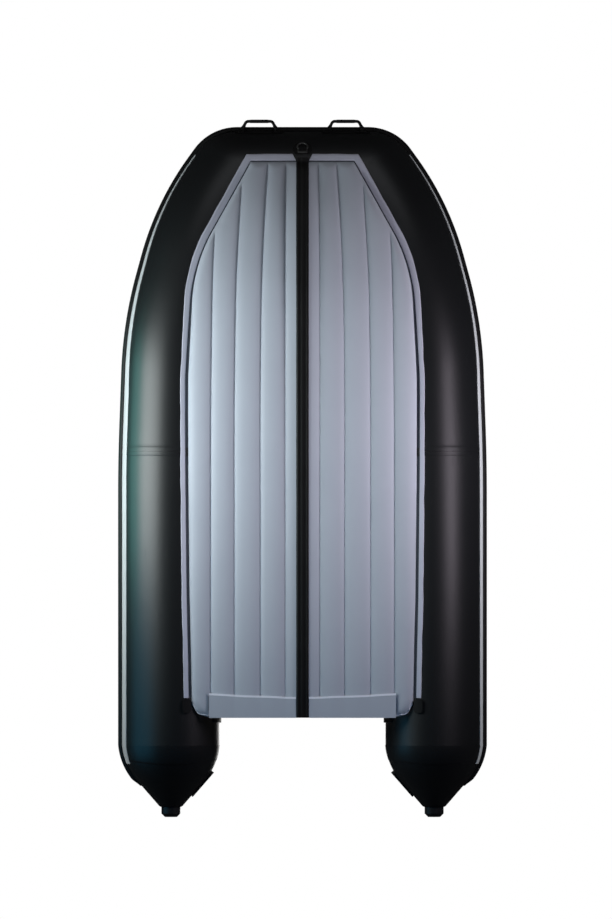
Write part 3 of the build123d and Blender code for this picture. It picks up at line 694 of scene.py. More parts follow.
def inset_line(line, inset):
    """Plan line moved inwards, mitred at its corners. The line runs from the bow aft on the port side."""
    ahead = unit(np.diff(line, axis=0))
    inward = np.stack([-ahead[:, 1], ahead[:, 0]], axis=1)
    inward = np.vstack([inward[:1], inward, inward[-1:]])
    both = inward[:-1] + inward[1:]
    return line + inset * 2 * both / (both**2).sum(axis=1, keepdims=True)


def tape_line():
    """Outer edge of the bonding tape in plan, from the bow centre round the port side to the stern."""
    corners = [
        (TAPE_CORNER_X, TAPE_FRONT_Y, 0),
        (*TAPE_BEND, 0),
        (TAPE_SIDE_X, TAPE_SIDE_Y, 0),
        (TAPE_SIDE_X, FLOOR_END_Y + TAPE_WIDTH, 0),
    ]
    side = rounded_path(corners, TAPE_BEND_RADII, TAPE_STEP)[:, :2]
    side[:, 0] -= np.interp(side[:, 1], *zip(*TAPE_LEAN))
    front_x = np.linspace(0, TAPE_CORNER_X, TAPE_FRONT_COLUMNS)[:-1]
    front = np.stack([front_x, np.full_like(front_x, TAPE_FRONT_Y)], axis=1)
    return np.vstack([front, side])


TAPE_LINE = tape_line()
TAPE_RUN = TAPE_LINE[TAPE_LINE[:, 1] <= TAPE_END_Y]
FLOOR_LINE = inset_line(TAPE_LINE, TAPE_WIDTH + GLUE)


def floor_half_width(y):
    """Half the floor's width in plan."""
    side = FLOOR_LINE[FLOOR_LINE[:, 1] > FLOOR_LINE[0, 1] + 1e-6]
    corner = np.interp(y, [p[1] for p in FLOOR_CORNER], [p[0] for p in FLOOR_CORNER])
    return np.minimum(np.interp(y, side[:, 1], side[:, 0]), np.where(y < FLOOR_CORNER[0][1], FAR, corner))


def floor_rows():
    """Floor's table at close stations, eased between its rows."""
    table = np.array(FLOOR_STATIONS[::-1])
    ys = table[:, 0]
    slopes = np.gradient(table, ys, axis=0)
    extra = [FLAP_Y, TRANSOM_Y, TRANSOM_Y + TRANSOM_STEP]
    rows = []
    for y in steps_between(FLOOR_LINE[0, 1], FLOOR_END_Y, FLOOR_STEP, extra):
        i = int(np.clip(np.searchsorted(ys, y, side="right") - 1, 0, len(ys) - 2))
        h = ys[i + 1] - ys[i]
        t = float(np.clip((y - ys[i]) / h, 0, 1))
        row = (2 * t**3 - 3 * t**2 + 1) * table[i] + (3 * t**2 - 2 * t**3) * table[i + 1]
        row = row + (t**3 - 2 * t**2 + t) * h * slopes[i] + (t**3 - t**2) * h * slopes[i + 1]
        row[0] = y
        rows.append(row)
    return np.array(rows)


def channel_edges(seams):
    """X of all the seams of a row, from starboard to port."""
    return np.array([-s for s in seams[::-1]] + list(seams))


def channel_columns(seams):
    """X of the columns of a row: closer together near the seams."""
    edges = channel_edges(seams)
    t = 0.5 - 0.5 * np.cos(np.pi * np.arange(CHANNEL_COLUMNS) / CHANNEL_COLUMNS)
    xs = []
    for a, b in zip(edges, edges[1:]):
        xs += list(a + (b - a) * t)
    return np.array(xs + [edges[-1]])


def channel_bulge(x, seams):
    """Height of the rounded channels over points of a row, with a pinched seam between them."""
    edges = channel_edges(seams)
    i = np.clip(np.searchsorted(edges, x, side="right") - 1, 0, len(edges) - 2)
    t = (x - edges[i]) / (edges[i + 1] - edges[i])
    arc = 1 - np.abs(2 * np.clip(t, 0, 1) - 1) ** CHANNEL_POWER
    nearest = np.abs(x[:, None] - edges[None, :]).min(axis=1)
    pinch = SEAM_PINCH * np.exp(-((nearest / SEAM_PINCH_WIDTH) ** 2))
    return (CHANNEL_BULGE + SEAM_DIP) * arc - SEAM_DIP - pinch


def distance_to_line(points, line):
    """Plan distance from points to a line."""
    best = np.full(len(points), FAR)
    for a, b in zip(line, line[1:]):
        ab = b - a
        t = np.clip(((points - a) @ ab) / (ab @ ab), 0, 1)
        best = np.minimum(best, np.linalg.norm(points - a - t[:, None] * ab, axis=1))
    return best


def floor_grids():
    """Matching grids of the floor's underside and top."""
    rows = floor_rows()
    ys = rows[:, 0]
    rim = np.vstack([[0, ys[0]], np.stack([floor_half_width(ys), ys], axis=1)])
    low_rows, high_rows = [], []
    for row in rows:
        y, keel, chine, deck = row[:4]
        seams = row[4:]
        half = float(floor_half_width(np.array(y)))
        x = np.clip(channel_columns(seams), -half, half)
        along = np.full_like(x, y)
        from_rim = distance_to_line(np.stack([np.abs(x), along], axis=1), rim)
        ceiling = tube_under(x, along)
        bulge = channel_bulge(x, seams)
        near_rim = smooth((FLOOR_PUCKER_REACH[0] - from_rim) / FLOOR_PUCKER_REACH[1])
        pucker = FLOOR_PUCKER * waves(y + 0.3 * np.abs(x), 4, *FLOOR_PUCKER_LENGTHS) * near_rim
        low = keel + (chine - keel) * np.abs(x) / seams[-1] - bulge * smooth(from_rim / CHANNEL_EASE) + pucker
        low = np.minimum(low, ceiling - TUBE_CLEAR[0])
        top = np.minimum(deck + bulge, ceiling + TOP_OVERLAP)
        if y >= TRANSOM_Y:
            top = np.minimum(top, TRANSOM_FOOT_Z + TRANSOM_STEP)
        rise = np.minimum(ceiling - TUBE_CLEAR[1], np.maximum(low + RIM_THICK, 0.5 * (low + top)))
        roll = 1 - np.sqrt(1 - (1 - np.clip(from_rim / FLOOR_ROLL, 0, 1)) ** 2)
        low = low + np.maximum(rise - low, 0) * roll
        top = np.maximum(top, low + LEAST_THICK)
        low_rows.append(np.stack([x, along, low], axis=1))
        high_rows.append(np.stack([x, along, top], axis=1))
    return np.array(low_rows), np.array(high_rows)


def air_floor(material, grids):
    """Air floor with its nine channels."""
    return strip_mesh("floor_skin", *grids, material, merge=FLOOR_WELD, smooth_angle=60)


def under_floor(x, y, grids):
    """Height of the floor's underside at plan points, from its grid."""
    low = grids[0]
    ys = low[:, 0, 1]
    i = np.clip(np.searchsorted(ys, y) - 1, 0, len(ys) - 2)
    result = np.empty(len(x))
    for k, (px, py, row) in enumerate(zip(x, y, i)):
        a = np.interp(px, low[row, :, 0], low[row, :, 2])
        b = np.interp(px, low[row + 1, :, 0], low[row + 1, :, 2])
        t = min(max((py - ys[row]) / (ys[row + 1] - ys[row]), 0), 1)
        result[k] = a + (b - a) * t
    return result


def stern_flap(material, edge_material, grids):
    """Doubling sheet under the stern, with a pale cut edge at its front."""
    made = []
    for name, side in reversed(SIDES.items()):
        x = np.linspace(KEEL_WIDTH / 2 + KEEL_BESIDE, FLAP_X + FLAP_OVER, FLAP_COLUMNS) * side
        sweep = FLAP_SWEEP * (1 - (np.abs(x) / FLAP_X) ** FLAP_SWEEP_POWER)
        front = FLAP_Y + sweep + FLAP_WAVE * np.sin(np.abs(x) / FLAP_WAVE_LENGTH)
        rows = []
        for t in np.linspace(0, 1, FLAP_ROWS):
            y = front + (FLOOR_END_Y + FLAP_PAST_END - front) * t
            rows.append(np.stack([x, y, under_floor(x, y, grids)], axis=1))
        rows = np.array(rows)
        row = FLOOR_STATIONS[0]
        taut = row[1] + (row[2] - row[1]) * np.abs(x) / row[-1] - CHANNEL_BULGE
        pulled = FLAP_TAUT * taut + (1 - FLAP_TAUT) * rows[:, :, 2]
        rows[:, :, 2] = np.minimum(rows[:, :, 2], pulled) - LAID_ON
        low = rows - np.array([0, 0, FLAP_THICK])
        made.append(strip_mesh("flap_sheet_" + name, rows, low, material))
        fore, aft, thick, proud = FLAP_LIP
        lip = low[:1].repeat(3, axis=0)
        lip[0, :, 1] -= fore
        lip[2, :, 1] += aft
        lip[:, :, 2] -= proud
        made.append(strip_mesh("flap_edge_" + name, lip + thick * UP, lip, edge_material))
    return made


def stern_welt(material, grids):
    """Thin pale welt round the floor's stern corners."""
    made = []
    for name, side in SIDES.items():
        path = rounded_path([(x, y, 0) for x, y in WELT_LINE], WELT_BENDS, WELT_STEP)
        path[:, 0] *= side
        path[:, 2] = under_floor(path[:, 0], path[:, 1], grids) - LAID_ON
        made.append(hoops_mesh("stern_welt_" + name, rod_hoops(path, WELT_R, WELT_SIDES), material))
    return made


def crease_width(y):
    """Width of the open crease between the tape and the floor: wider from the middle of the boat aft."""
    narrow, wide = CREASE_WIDTH
    from_y, over = CREASE_WIDENS
    return narrow + (wide - narrow) * smooth((y - from_y) / over)


def strip_under_tube(name, lines, below, above, material):
    """Closed strip on the tube's underside over plan lines; below and above are its faces from the skin."""
    made = []
    grid = np.array(lines).transpose(1, 0, 2)
    for side_name, side in SIDES.items():
        x, y = grid[:, :, 0] * side, grid[:, :, 1]
        z = tube_under(x, y)
        under = np.stack([x, y, z - below], axis=2)
        over = np.stack([x, y, z + above], axis=2)
        made.append(strip_mesh(name + "_" + side_name, over, under, material, merge=WELD))
    return made


def painted_shade_crease_strip(material):
    """Dark bottom of the crease between the tape and the floor: a strip whose dark colour is painted shade.
    """
    lines = []
    for back in CREASE_BACK:
        line = inset_line(TAPE_RUN, TAPE_WIDTH - back)
        line[:, 0] = np.maximum(line[:, 0], KEEL_WIDTH / 2 - 0.002)
        lines.append(line)
    return strip_under_tube("crease", lines, *CREASE_THICK, material)


def bonding_tape(material):
    """Tape that joins the floor to the tube, slightly wavy, cut slanting at the keel strip."""
    reach = TAPE_WIDTH - crease_width(TAPE_RUN[:, 1])
    run = lengths(TAPE_RUN)
    edge_wave = TAPE_WAVE * waves(run, 11, *TAPE_WAVE_LENGTHS)
    inward = (inset_line(TAPE_RUN, 0.01) - TAPE_RUN) * 100
    lines = []
    for share in TAPE_SHARES:
        outer = 1 - share
        line = TAPE_RUN + inward * (share * reach)[:, None] + unit(inward) * (edge_wave * outer)[:, None]
        start = KEEL_WIDTH / 2 + TAPE_SLANT * outer + KEEL_BESIDE
        short = line[1:, 0] < start
        line[1:, 0] = np.maximum(line[1:, 0], start + 0.001 * np.arange(1, len(line)) * short)
        line[0, 0] = start
        lines.append(line)
    return strip_under_tube("tape_strip", lines, TAPE_SHARE_THICK * TAPE_THICK, TAPE_SUNK, material)


def keel_strip(material, grids):
    """Rubber strip under the keel with three ridges and thin side lips."""
    section = KEEL_SECTION + [(-x, z) for x, z in KEEL_SECTION[:-1][::-1]]
    ys = steps_between(TAPE_FRONT_Y + KEEL_FRONT, FLOOR_END_Y + KEEL_BESIDE, FLOOR_STEP)
    low = grids[0]
    middle = low.shape[1] // 2
    seen = low[KEEL_FRONT_ROWS:, middle]
    crest = np.interp(ys, seen[:, 1], seen[:, 2])
    slope = np.interp(ys, low[:, middle, 1], low[:, middle, 2])
    front = np.minimum(slope, tube_under(np.zeros_like(ys), ys) - TAPE_SUNK)
    crest = np.where(ys < seen[0, 1], front, crest)
    hoops = [[(x, y, z + dz) for x, dz in section] for y, z in zip(ys, crest)]
    return hoops_mesh("keel_rubber", hoops, material, smooth_angle=30)


def local_frame(origin, x_dir, normal):
    """Turns points in a fitting's own frame into the hull frame."""
    x_dir, normal = unit(x_dir), unit(normal)
    axes = np.array([x_dir, np.cross(normal, x_dir), normal])

    def place(points):
        return np.asarray(points, dtype=float) @ axes + np.asarray(origin, dtype=float)

    return place


def bow_tube(x):
    """Bow tube at a place: its centre, the direction along it, downwards and forwards."""
    return bow_point(x), -ACROSS, -UP, FORE


def side_tube(y):
    """Port tube at a place: its centre, the direction along it, upwards and inwards."""
    return np.array([TUBE_X, y, TUBE_R]), -FORE, UP, ACROSS


def tube_place(tube, angle):
    """Frame of a fitting on a tube; angle in degrees from the tube's third direction to its fourth."""
    centre, along, start, turn = tube
    rad = math.radians(angle)
    normal = math.cos(rad) * start + math.sin(rad) * turn
    return local_frame(centre + TUBE_R * normal, along, normal)


def tube_skin(tube, angle):
    """Points of a tube's skin round a place: u along the tube, v round it, lift over it."""
    centre, along, start, turn = tube

    def at(u, v, lift):
        around = (math.radians(angle) + v / TUBE_R)[:, None]
        normal = np.cos(around) * start + np.sin(around) * turn
        return centre + u[:, None] * along + (TUBE_R + lift) * normal

    return at


def rod_hoops(path, radius, sides=14):
    """Hoops round a path; radius is one value or one for each point."""
    path = np.asarray(path, dtype=float)
    ahead = unit(np.gradient(path, axis=0))
    out = np.array([0.123, 0.456, 0.789])
    hoops = []
    for centre, forward, r in zip(path, ahead, np.broadcast_to(radius, len(path))):
        out = unit(out - (out @ forward) * forward)
        hoops.append(hoop(centre, out, np.cross(forward, out), r, ring_angles(sides)))
    return hoops


def turned_hoops(place, profile, sides=40):
    """Hoops of a turned piece about a local Z axis. Columns of the profile: radius, height."""
    angles = ring_angles(sides)
    return [place(hoop((0, 0, height), -ACROSS, -FORE, radius, angles)) for radius, height in profile]


def rounded_square(count, power):
    """Ring between a circle, at power 1, and a square, at power 0."""
    x, y = np.cos(ring_angles(count)), np.sin(ring_angles(count))
    return np.sign(x) * np.abs(x) ** power, np.sign(y) * np.abs(y) ** power


def carry_handle(name, place, side):
    """Moulded handle: a bar with a thicker grip, on two flared legs with rounded feet."""
    half = HANDLE_SPAN / 2
    bar = half * HANDLE_BAR
    corners = [(-half, 0, -HANDLE_SUNK), (-bar, 0, HANDLE_RISE)]
    corners += [(-x, y, z) for x, y, z in corners[::-1]]
    path = rounded_path(corners, [HANDLE_BEND, HANDLE_BEND], PATH_STEP)
    grip = smooth((bar * HANDLE_GRIP_SHARE - np.abs(path[:, 0])) / HANDLE_GRIP_EDGE)
    flare = smooth((HANDLE_FLARE_TOP - path[:, 2]) / HANDLE_FLARE_REACH)
    radius = HANDLE_BAR_R + HANDLE_GRIP * grip + HANDLE_FLARE * flare
    pieces = [hoops_mesh(name + "_arch", for_side(side, rod_hoops(place(path), radius)), BLACK_RUBBER)]
    square_x, square_y = rounded_square(HANDLE_FOOT_SIDES, HANDLE_FOOT_POWER)
    for label, end in (("_foot_fore", -1), ("_foot_aft", 1)):
        rows = []
        for share, lift in HANDLE_FOOT:
            w = HANDLE_FOOT_HALF * share
            x = end * (half - HANDLE_FOOT_IN) + w * square_x
            rows.append(place(np.stack([x, w * square_y, np.full_like(x, lift)], axis=1)))
        pieces.append(hoops_mesh(name + label, for_side(side, rows), BLACK_RUBBER, smooth_angle=35))
    return pieces


def curved_patch(name, skin, size, material, side="port"):
    """Thin glued patch that follows a tube; skin(u, v, lift) gives points of the tube's skin."""
    half_x, half_y, power, thick = size
    x, y = rounded_square(PATCH_SIDES, power)
    x, y = x * half_x, y * half_y
    rings = [skin(x * s, y * s, thick if s < PATCH_SHARES[-2] else thick * 0.75) for s in PATCH_SHARES]
    rings.append(skin(x, y, -0.002))
    return hoops_mesh(name, for_side(side, rings), material, smooth_angle=40)


def bow_ring(material):
    """Bow ring: a bent rod with a straight side."""
    turns = np.linspace(0, math.pi, 25)
    arch = [(RING_R * math.cos(t), RING_LEG + RING_R * math.sin(t), RING_LIFT) for t in turns]
    flat = [(0.0, 0), (RING_R - RING_CORNER, 0), (RING_R - 0.001, 0.001), (RING_R, RING_CORNER)]
    start = [(x, y, RING_LIFT) for x, y in flat]
    end = [(-x, y, z) for x, y, z in start[::-1]]
    place = tube_place(bow_tube(0), RING_ANGLE)
    return hoops_mesh("bow_ring_rod", rod_hoops(place(start + arch + end), RING_ROD_R), material)


def ring_strap(material):
    """Short strap that holds the straight side of the bow ring."""
    return curved_patch("bow_ring_strap", tube_skin(bow_tube(0), RING_STRAP_ANGLE), RING_STRAP, material)


def rowlock(side, material):
    """Open rowlock: a turned shaft with a collar, and a horn with ball ends."""
    centre = SOCKET_TOP + HORN_FOOT + HORN_R + HORN_ROD_R
    base = local_frame((TUBE_X, ROWLOCK_Y, SOCKET_TOP), -ACROSS, UP)
    horn = local_frame((TUBE_X, ROWLOCK_Y, centre), -ACROSS, UP)
    arch = [(0, -HORN_R * math.cos(t), -HORN_R * math.sin(t)) for t in np.linspace(0, math.pi, 31)]
    arm = [(0, -HORN_R, HORN_ARM), (0, -HORN_R, 0.5 * HORN_ARM)]
    path = arm + arch + [(x, -y, z) for x, y, z in arm[::-1]]
    shaft_hoops = for_side(side, turned_hoops(base, SHAFT))
    horn_hoops = for_side(side, rod_hoops(horn(path), HORN_ROD_R, 18))
    pieces = [
        hoops_mesh("rowlock_shaft_" + side, shaft_hoops, material, smooth_angle=35),
        hoops_mesh("rowlock_horn_" + side, horn_hoops, material),
    ]
    turns = np.linspace(0.35, math.pi - 0.12, 12)
    profile = [(KNOB_R[0] * math.sin(t), HORN_ROD_R - KNOB_R[1] * math.cos(t)) for t in turns]
    for label, end in (("fore_", -1), ("aft_", 1)):
        knob = local_frame((TUBE_X, ROWLOCK_Y + end * HORN_R, centre + HORN_ARM), -ACROSS, UP)
        hoops = for_side(side, turned_hoops(knob, profile, 24))
        pieces.append(hoops_mesh("rowlock_knob_" + label + side, hoops, material))
    return pieces


# Materials


def feed(tree, entry, value):
    """Sets an input to a value, or wires it to the output of another node."""
    if isinstance(value, bpy.types.NodeSocket):
        tree.links.new(value, entry)
    else:
        entry.default_value = value


def add_node(tree, kind, inputs=None, **settings):
    """New shader node; inputs gives what feeds its inputs, by name or place."""
    node = tree.nodes.new("ShaderNode" + kind)
    for name, value in settings.items():
        setattr(node, name, value)
    for name, value in (inputs or {}).items():
        feed(tree, node.inputs[name], value)
    return node


def new_material(name, colour, roughness, specular=0.5, metallic=0.0):
    """Material with its node tree and its shader."""
    material = bpy.data.materials.new(name)
    material.use_nodes = True
    tree = material.node_tree
    shader = tree.nodes["Principled BSDF"]
    shader.inputs["Base Color"].default_value = (*colour, 1)
    shader.inputs["Roughness"].default_value = roughness
    shader.inputs["Specular IOR Level"].default_value = specular
    shader.inputs["Metallic"].default_value = metallic
    return material, tree, shader


def group_with(name, inputs, outputs):
    """Empty shader group with number inputs, given by name and value, and outputs, by name and type."""
    group = bpy.data.node_groups.new(name, "ShaderNodeTree")
    for label, value in inputs.items():
        socket = group.interface.new_socket(label, in_out="INPUT", socket_type="NodeSocketFloat")
        socket.default_value = value
    for label, kind in outputs.items():
        group.interface.new_socket(label, in_out="OUTPUT", socket_type="NodeSocket" + kind)
    return group, group.nodes.new("NodeGroupInput").outputs, group.nodes.new("NodeGroupOutput").inputs


def noise(tree, place, scale, detail, roughness=0.5):
    inputs = {"Vector": place, "Scale": scale, "Detail": detail, "Roughness": roughness}
    return add_node(tree, "TexNoise", inputs).outputs["Fac"]


def maths(tree, operation, a, b):
    return add_node(tree, "Math", {0: a, 1: b}, operation=operation).outputs[0]


def coated_fabric_group():
    """Coated fabric: a fine cloth grain in the normal and a soft cloudy mask."""
    outputs = {"Normal": "Vector", "Clouds": "Float"}
    group, given, result = group_with("coated_fabric", {"Grain": 0.2, "Scale": 900.0}, outputs)
    place = add_node(group, "TexCoord").outputs["Object"]
    grain = noise(group, place, given["Scale"], 2.0)
    bump = add_node(group, "Bump", {"Distance": 0.0008, "Strength": given["Grain"], "Height": grain})
    feed(group, result["Normal"], bump.outputs["Normal"])
    feed(group, result["Clouds"], noise(group, place, 5.0, 4.0, 0.55))
    return group


def scuff_group():
    """Scuffs: thin stretched marks, as a mask."""
    group, given, result = group_with("scuffs", {"Amount": 0.5}, {"Mask": "Float"})
    place = add_node(group, "TexCoord").outputs["Object"]
    stretch = add_node(group, "Mapping", {"Vector": place, "Scale": (14.0, 2.0, 9.0)})
    marks = noise(group, stretch.outputs["Vector"], 6.0, 8.0, 0.62)
    ramp = add_node(group, "MapRange", {"Value": marks, "From Min": 0.60, "From Max": 0.78})
    patchy = maths(group, "MULTIPLY", ramp.outputs["Result"], noise(group, place, 2.3, 2.0))
    feed(group, result["Mask"], maths(group, "MULTIPLY", patchy, given["Amount"]))
    return group


FABRIC = coated_fabric_group()
SCUFFS = scuff_group()


def colour_between(tree, low, high, factor):
    """Colour that a mask shifts between two."""
    inputs = {"A": (*low, 1), "B": (*high, 1), "Factor": factor}
    return add_node(tree, "Mix", inputs, data_type="RGBA").outputs["Result"]


def cover(tree, shader, low, high, grain, scale):
    """Cloth grain and a cloudy colour between two close ones."""
    cloth = add_node(tree, "Group", node_tree=FABRIC)
    feed(tree, cloth.inputs["Grain"], grain)
    feed(tree, cloth.inputs["Scale"], scale)
    feed(tree, shader.inputs["Base Color"], colour_between(tree, low, high, cloth.outputs["Clouds"]))
    feed(tree, shader.inputs["Normal"], cloth.outputs["Normal"])


def scuff(tree, shader, amount, roughness):
    """Roughness that rises in the scuffs."""
    marks = add_node(tree, "Group", node_tree=SCUFFS)
    feed(tree, marks.inputs["Amount"], amount)
    feed(tree, shader.inputs["Roughness"], maths(tree, "ADD", marks.outputs["Mask"], roughness))


def coated_fabric(name, low, high, roughness, specular, grain, scale=900.0):
    """Coated boat fabric between two close colours."""
    material, tree, shader = new_material(name, low, roughness, specular)
    cover(tree, shader, low, high, grain, scale)
    scuff(tree, shader, 0.25, roughness)
    return material


def moulded(name, colour, roughness, specular, grain=0.12):
    """Moulded rubber or plastic with a fine moulded grain."""
    material, tree, shader = new_material(name, colour, roughness, specular)
    cover(tree, shader, colour, [c * 1.5 + 0.004 for c in colour], grain, 1600.0)
    return material


def varnished_wood(name, pale, dark, stretch):
    """Varnished plywood face with long grain."""
    material, tree, shader = new_material(name, pale, 0.32)
    place = add_node(tree, "TexCoord").outputs["Object"]
    stretched = add_node(tree, "Mapping", {"Vector": place, "Scale": stretch}).outputs["Vector"]
    wave = {"Vector": stretched, "Scale": 3.0, "Distortion": 7.0, "Detail": 3.0, "Detail Scale": 1.4}
    rings = add_node(tree, "TexWave", wave, wave_type="BANDS", bands_direction="Z").outputs["Fac"]
    fibres = noise(tree, stretched, 60.0, 6.0, 0.6)
    grain = maths(tree, "MULTIPLY", rings, fibres)
    bump = add_node(tree, "Bump", {"Strength": 0.08, "Distance": 0.001, "Height": fibres})
    feed(tree, shader.inputs["Base Color"], colour_between(tree, pale, dark, grain))
    feed(tree, shader.inputs["Normal"], bump.outputs["Normal"])
    shader.inputs["Coat Weight"].default_value = 0.3
    shader.inputs["Coat Roughness"].default_value = 0.15
    return material


def brushed_steel(name, colour):
    """Bare steel with fine scuffs."""
    material, tree, shader = new_material(name, colour, 0.25, metallic=1.0)
    scuff(tree, shader, 0.5, 0.22)
    return material


# Numbers after the colours: roughness, specular level, depth of the grain, and its scale where it is coarse
BLACK_FABRIC = coated_fabric(
    "black_fabric", (0.0068, 0.0076, 0.0086), (0.0080, 0.0088, 0.0100), 0.40, 0.60, 0.08)
FLOOR_FABRIC = coated_fabric("grey_fabric", (0.43, 0.465, 0.535), (0.47, 0.505, 0.575), 0.48, 0.25, 0.10)
TAPE_FABRIC = coated_fabric("tape_fabric", (0.50, 0.51, 0.61), (0.56, 0.57, 0.67), 0.52, 0.25, 0.35, 420.0)
PALE_FABRIC = coated_fabric("pale_fabric", (0.52, 0.56, 0.575), (0.56, 0.60, 0.615), 0.45, 0.25, 0.1)
EDGE_FABRIC = coated_fabric("cut_edge", (0.84, 0.86, 0.95), (0.88, 0.90, 0.98), 0.5, 0.3, 0.1)
# Crease colour: painted shade, a dark grey standing in for the shadow in the crease between tape and floor
CREASE_SHADE_PAINT = coated_fabric("painted_crease_shade", (0.050, 0.056, 0.072), (0.064, 0.070, 0.088), 0.55, 0.15, 0.1)
BLACK_RUBBER = moulded("black_rubber", (0.0052, 0.0052, 0.0054), 0.50, 0.20)
WEBBING = coated_fabric("webbing", (0.024, 0.024, 0.024), (0.036, 0.036, 0.034), 0.7, 0.3, 0.5, 500.0)
BLACK_PLASTIC = moulded("black_plastic", (0.010, 0.010, 0.011), 0.40, 0.3)
GREY_PLASTIC = moulded("grey_plastic", (0.16, 0.17, 0.18), 0.42, 0.4)
PLYWOOD = varnished_wood("varnished_plywood", (0.50, 0.31, 0.15), (0.30, 0.16, 0.065), (0.35, 3.0, 3.0))
STEEL = brushed_steel("stainless_steel", (0.55, 0.55, 0.54))
DARK_STEEL = moulded("black_coated_steel", (0.030, 0.030, 0.030), 0.32, 0.8, 0.03)


def pairs(*names):
    """Names of the port and the starboard node of each pair."""
    return [name + "_" + side for name in names for side in SIDES]


NODE_MATERIALS = [
    (BLACK_FABRIC, ["bow_chamber"] + pairs("side_chamber", "tail_cone")),
    (FLOOR_FABRIC, ["air_floor", "stern_flap"]),
    (TAPE_FABRIC, ["bonding_tape"]),
    (PALE_FABRIC, ["strake_band"]),
    (BLACK_RUBBER, ["rub_strake", "keel_strip", "bow_ring_patch"]
     + pairs("stern_gusset", "bow_handle", "side_handle", "transom_holder", "tow_pad")),
    (PLYWOOD, ["transom", "seat_fore", "seat_aft"]),
    (STEEL, pairs("rowlock")),
    (DARK_STEEL, ["bow_ring"]),
    (BLACK_PLASTIC, ["motor_pad_outer", "motor_pad_inner"]
     + pairs("cone_cap", "seat_rail", "slider_fore", "slider_aft", "rowlock_socket")),
    (GREY_PLASTIC, ["bow_valve", "floor_valve", "drain_valve"] + pairs("side_valve")),
]


def paint_nodes():
    """Gives every CAD node its material."""
    for material, names in NODE_MATERIALS:
        for name in names:
            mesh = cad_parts[name].data
            mesh.materials.clear()
            mesh.materials.append(material)


def fit(pieces, nodes=(), body="hull"):
    """The pieces ride on a body and stand for CAD nodes."""
    for piece in pieces:
        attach(piece, body)
        if nodes:
            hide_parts(*nodes)


def fit_side(side):
    """Handles and rowlock of one side."""
    for kind, tube, angle in (
        ("bow_handle", bow_tube(BOW_HANDLE_X), BOW_HANDLE_ANGLE),
        ("side_handle", side_tube(SIDE_HANDLE_Y), SIDE_HANDLE_ANGLE),
    ):
        skin = tube_skin(tube, angle)
        patch = curved_patch(kind + "_patch_" + side, skin, HANDLE_PATCH, BLACK_RUBBER, side)
        handle = carry_handle(kind + "_" + side, tube_place(tube, angle), side)
        fit([patch] + handle, [kind + "_" + side])
    fit(rowlock(side, STEEL), ["rowlock_" + side], body="rowlock_" + side)


def build_boat():
    """Makes the pieces and says which body carries each, its finish and the nodes it stands for."""
    fit([bow_chamber_skin(BLACK_FABRIC)], ["bow_chamber"])
    for side in SIDES:
        fit([side_chamber_skin(side, BLACK_FABRIC)], ["side_chamber_" + side])
        fit([tail_cone_skin(side, BLACK_FABRIC)], ["tail_cone_" + side])
        fit(pale_bands(side, PALE_FABRIC), ["strake_band"])
    fit([rub_strake(BLACK_RUBBER)], ["rub_strake"])
    grids = floor_grids()
    fit([air_floor(FLOOR_FABRIC, grids)], ["air_floor"])
    fit(stern_flap(FLOOR_FABRIC, EDGE_FABRIC, grids), ["stern_flap"])
    fit(stern_welt(EDGE_FABRIC, grids), ["air_floor"])
    fit(bonding_tape(TAPE_FABRIC), ["bonding_tape"])
    # Dark strip of painted shade in the crease between tape and floor
    fit(painted_shade_crease_strip(CREASE_SHADE_PAINT), ["bonding_tape"])
    fit([keel_strip(BLACK_RUBBER, grids)], ["keel_strip"])
    for side in SIDES:
        fit_side(side)
    fit([bow_ring(DARK_STEEL)], ["bow_ring"])
    fit([ring_strap(WEBBING)])


# Studio

FLOOR_REACH = 12.0
WALL_REACH = 6.0
WALL_LOW, WALL_HIGH = -4.0, 26.0

# Lamps. Columns: place, aim, size along the boat and in height, watts, colour, spread in degrees,
# and what sees it: dull surfaces, gloss or both.
LAMPS = {
    "below_left": ((-1.95, -0.28, -0.86), (-0.25, -0.28, 0), (1.3, 1.5), 26, (0.92, 1.0, 1.0), 120, "both"),
    "below_right": ((2.20, -0.22, -0.84), (0.25, -0.22, 0), (0.8, 0.6), 17, (1.0, 0.93, 1.0), 115, "dull"),
    "right_glint": ((1.84, -0.22, -1.28), (0.67, -0.22, 0), (1.4, 0.8), 15, (0.98, 0.88, 1.0), 180, "gloss"),
    "left_side": ((-2.4, -0.2, 0.30), (-0.8, -0.2, 0.2), (1.3, 1.0), 12, (0.26, 1.0, 0.90), 180, "gloss"),
    "left_stern": ((-2.3, 1.2, -0.45), (-0.8, 1.1, 0.2), (1.8, 1.8), 7, (0.06, 0.60, 1.0), 180, "gloss"),
    "below_bow": ((0.0, -3.2, -1.4), (0.0, -1.3, 0.2), (2.4, 1.0), 6, (0.94, 0.96, 1.0), 180, "both"),
    "below_stern": ((0.0, 1.9, -2.4), (0.0, 1.0, 0.1), (2.2, 1.0), 5.5, (0.0, 0.45, 1.0), 180, "dull"),
    "above": ((0.8, 0.4, 5.2), (0, 0, 0.2), (3.0, 3.0), 120, (1.0, 0.99, 0.97), 180, "both"),
    "above_back": ((-3.0, 3.0, 3.5), (0, 0, 0.2), (3.0, 2.0), 50, (0.95, 0.98, 1.0), 180, "dull"),
}


def hang_lamps():
    """Soft lamps, none of which the camera sees."""
    for name, (place, aim, size, watts, colour, spread, seen) in LAMPS.items():
        lamp = bpy.data.lights.new(name, "AREA")
        lamp.shape = "RECTANGLE"
        lamp.size, lamp.size_y = size
        lamp.energy = watts
        lamp.color = colour
        lamp.spread = math.radians(spread)
        obj = add_object(name, lamp)
        obj.location = place
        obj.rotation_euler = (Vector(aim) - Vector(place)).to_track_quat("-Z", "Y").to_euler()
        obj.visible_camera = False
        obj.visible_glossy = seen != "dull"
        obj.visible_diffuse = seen != "gloss"


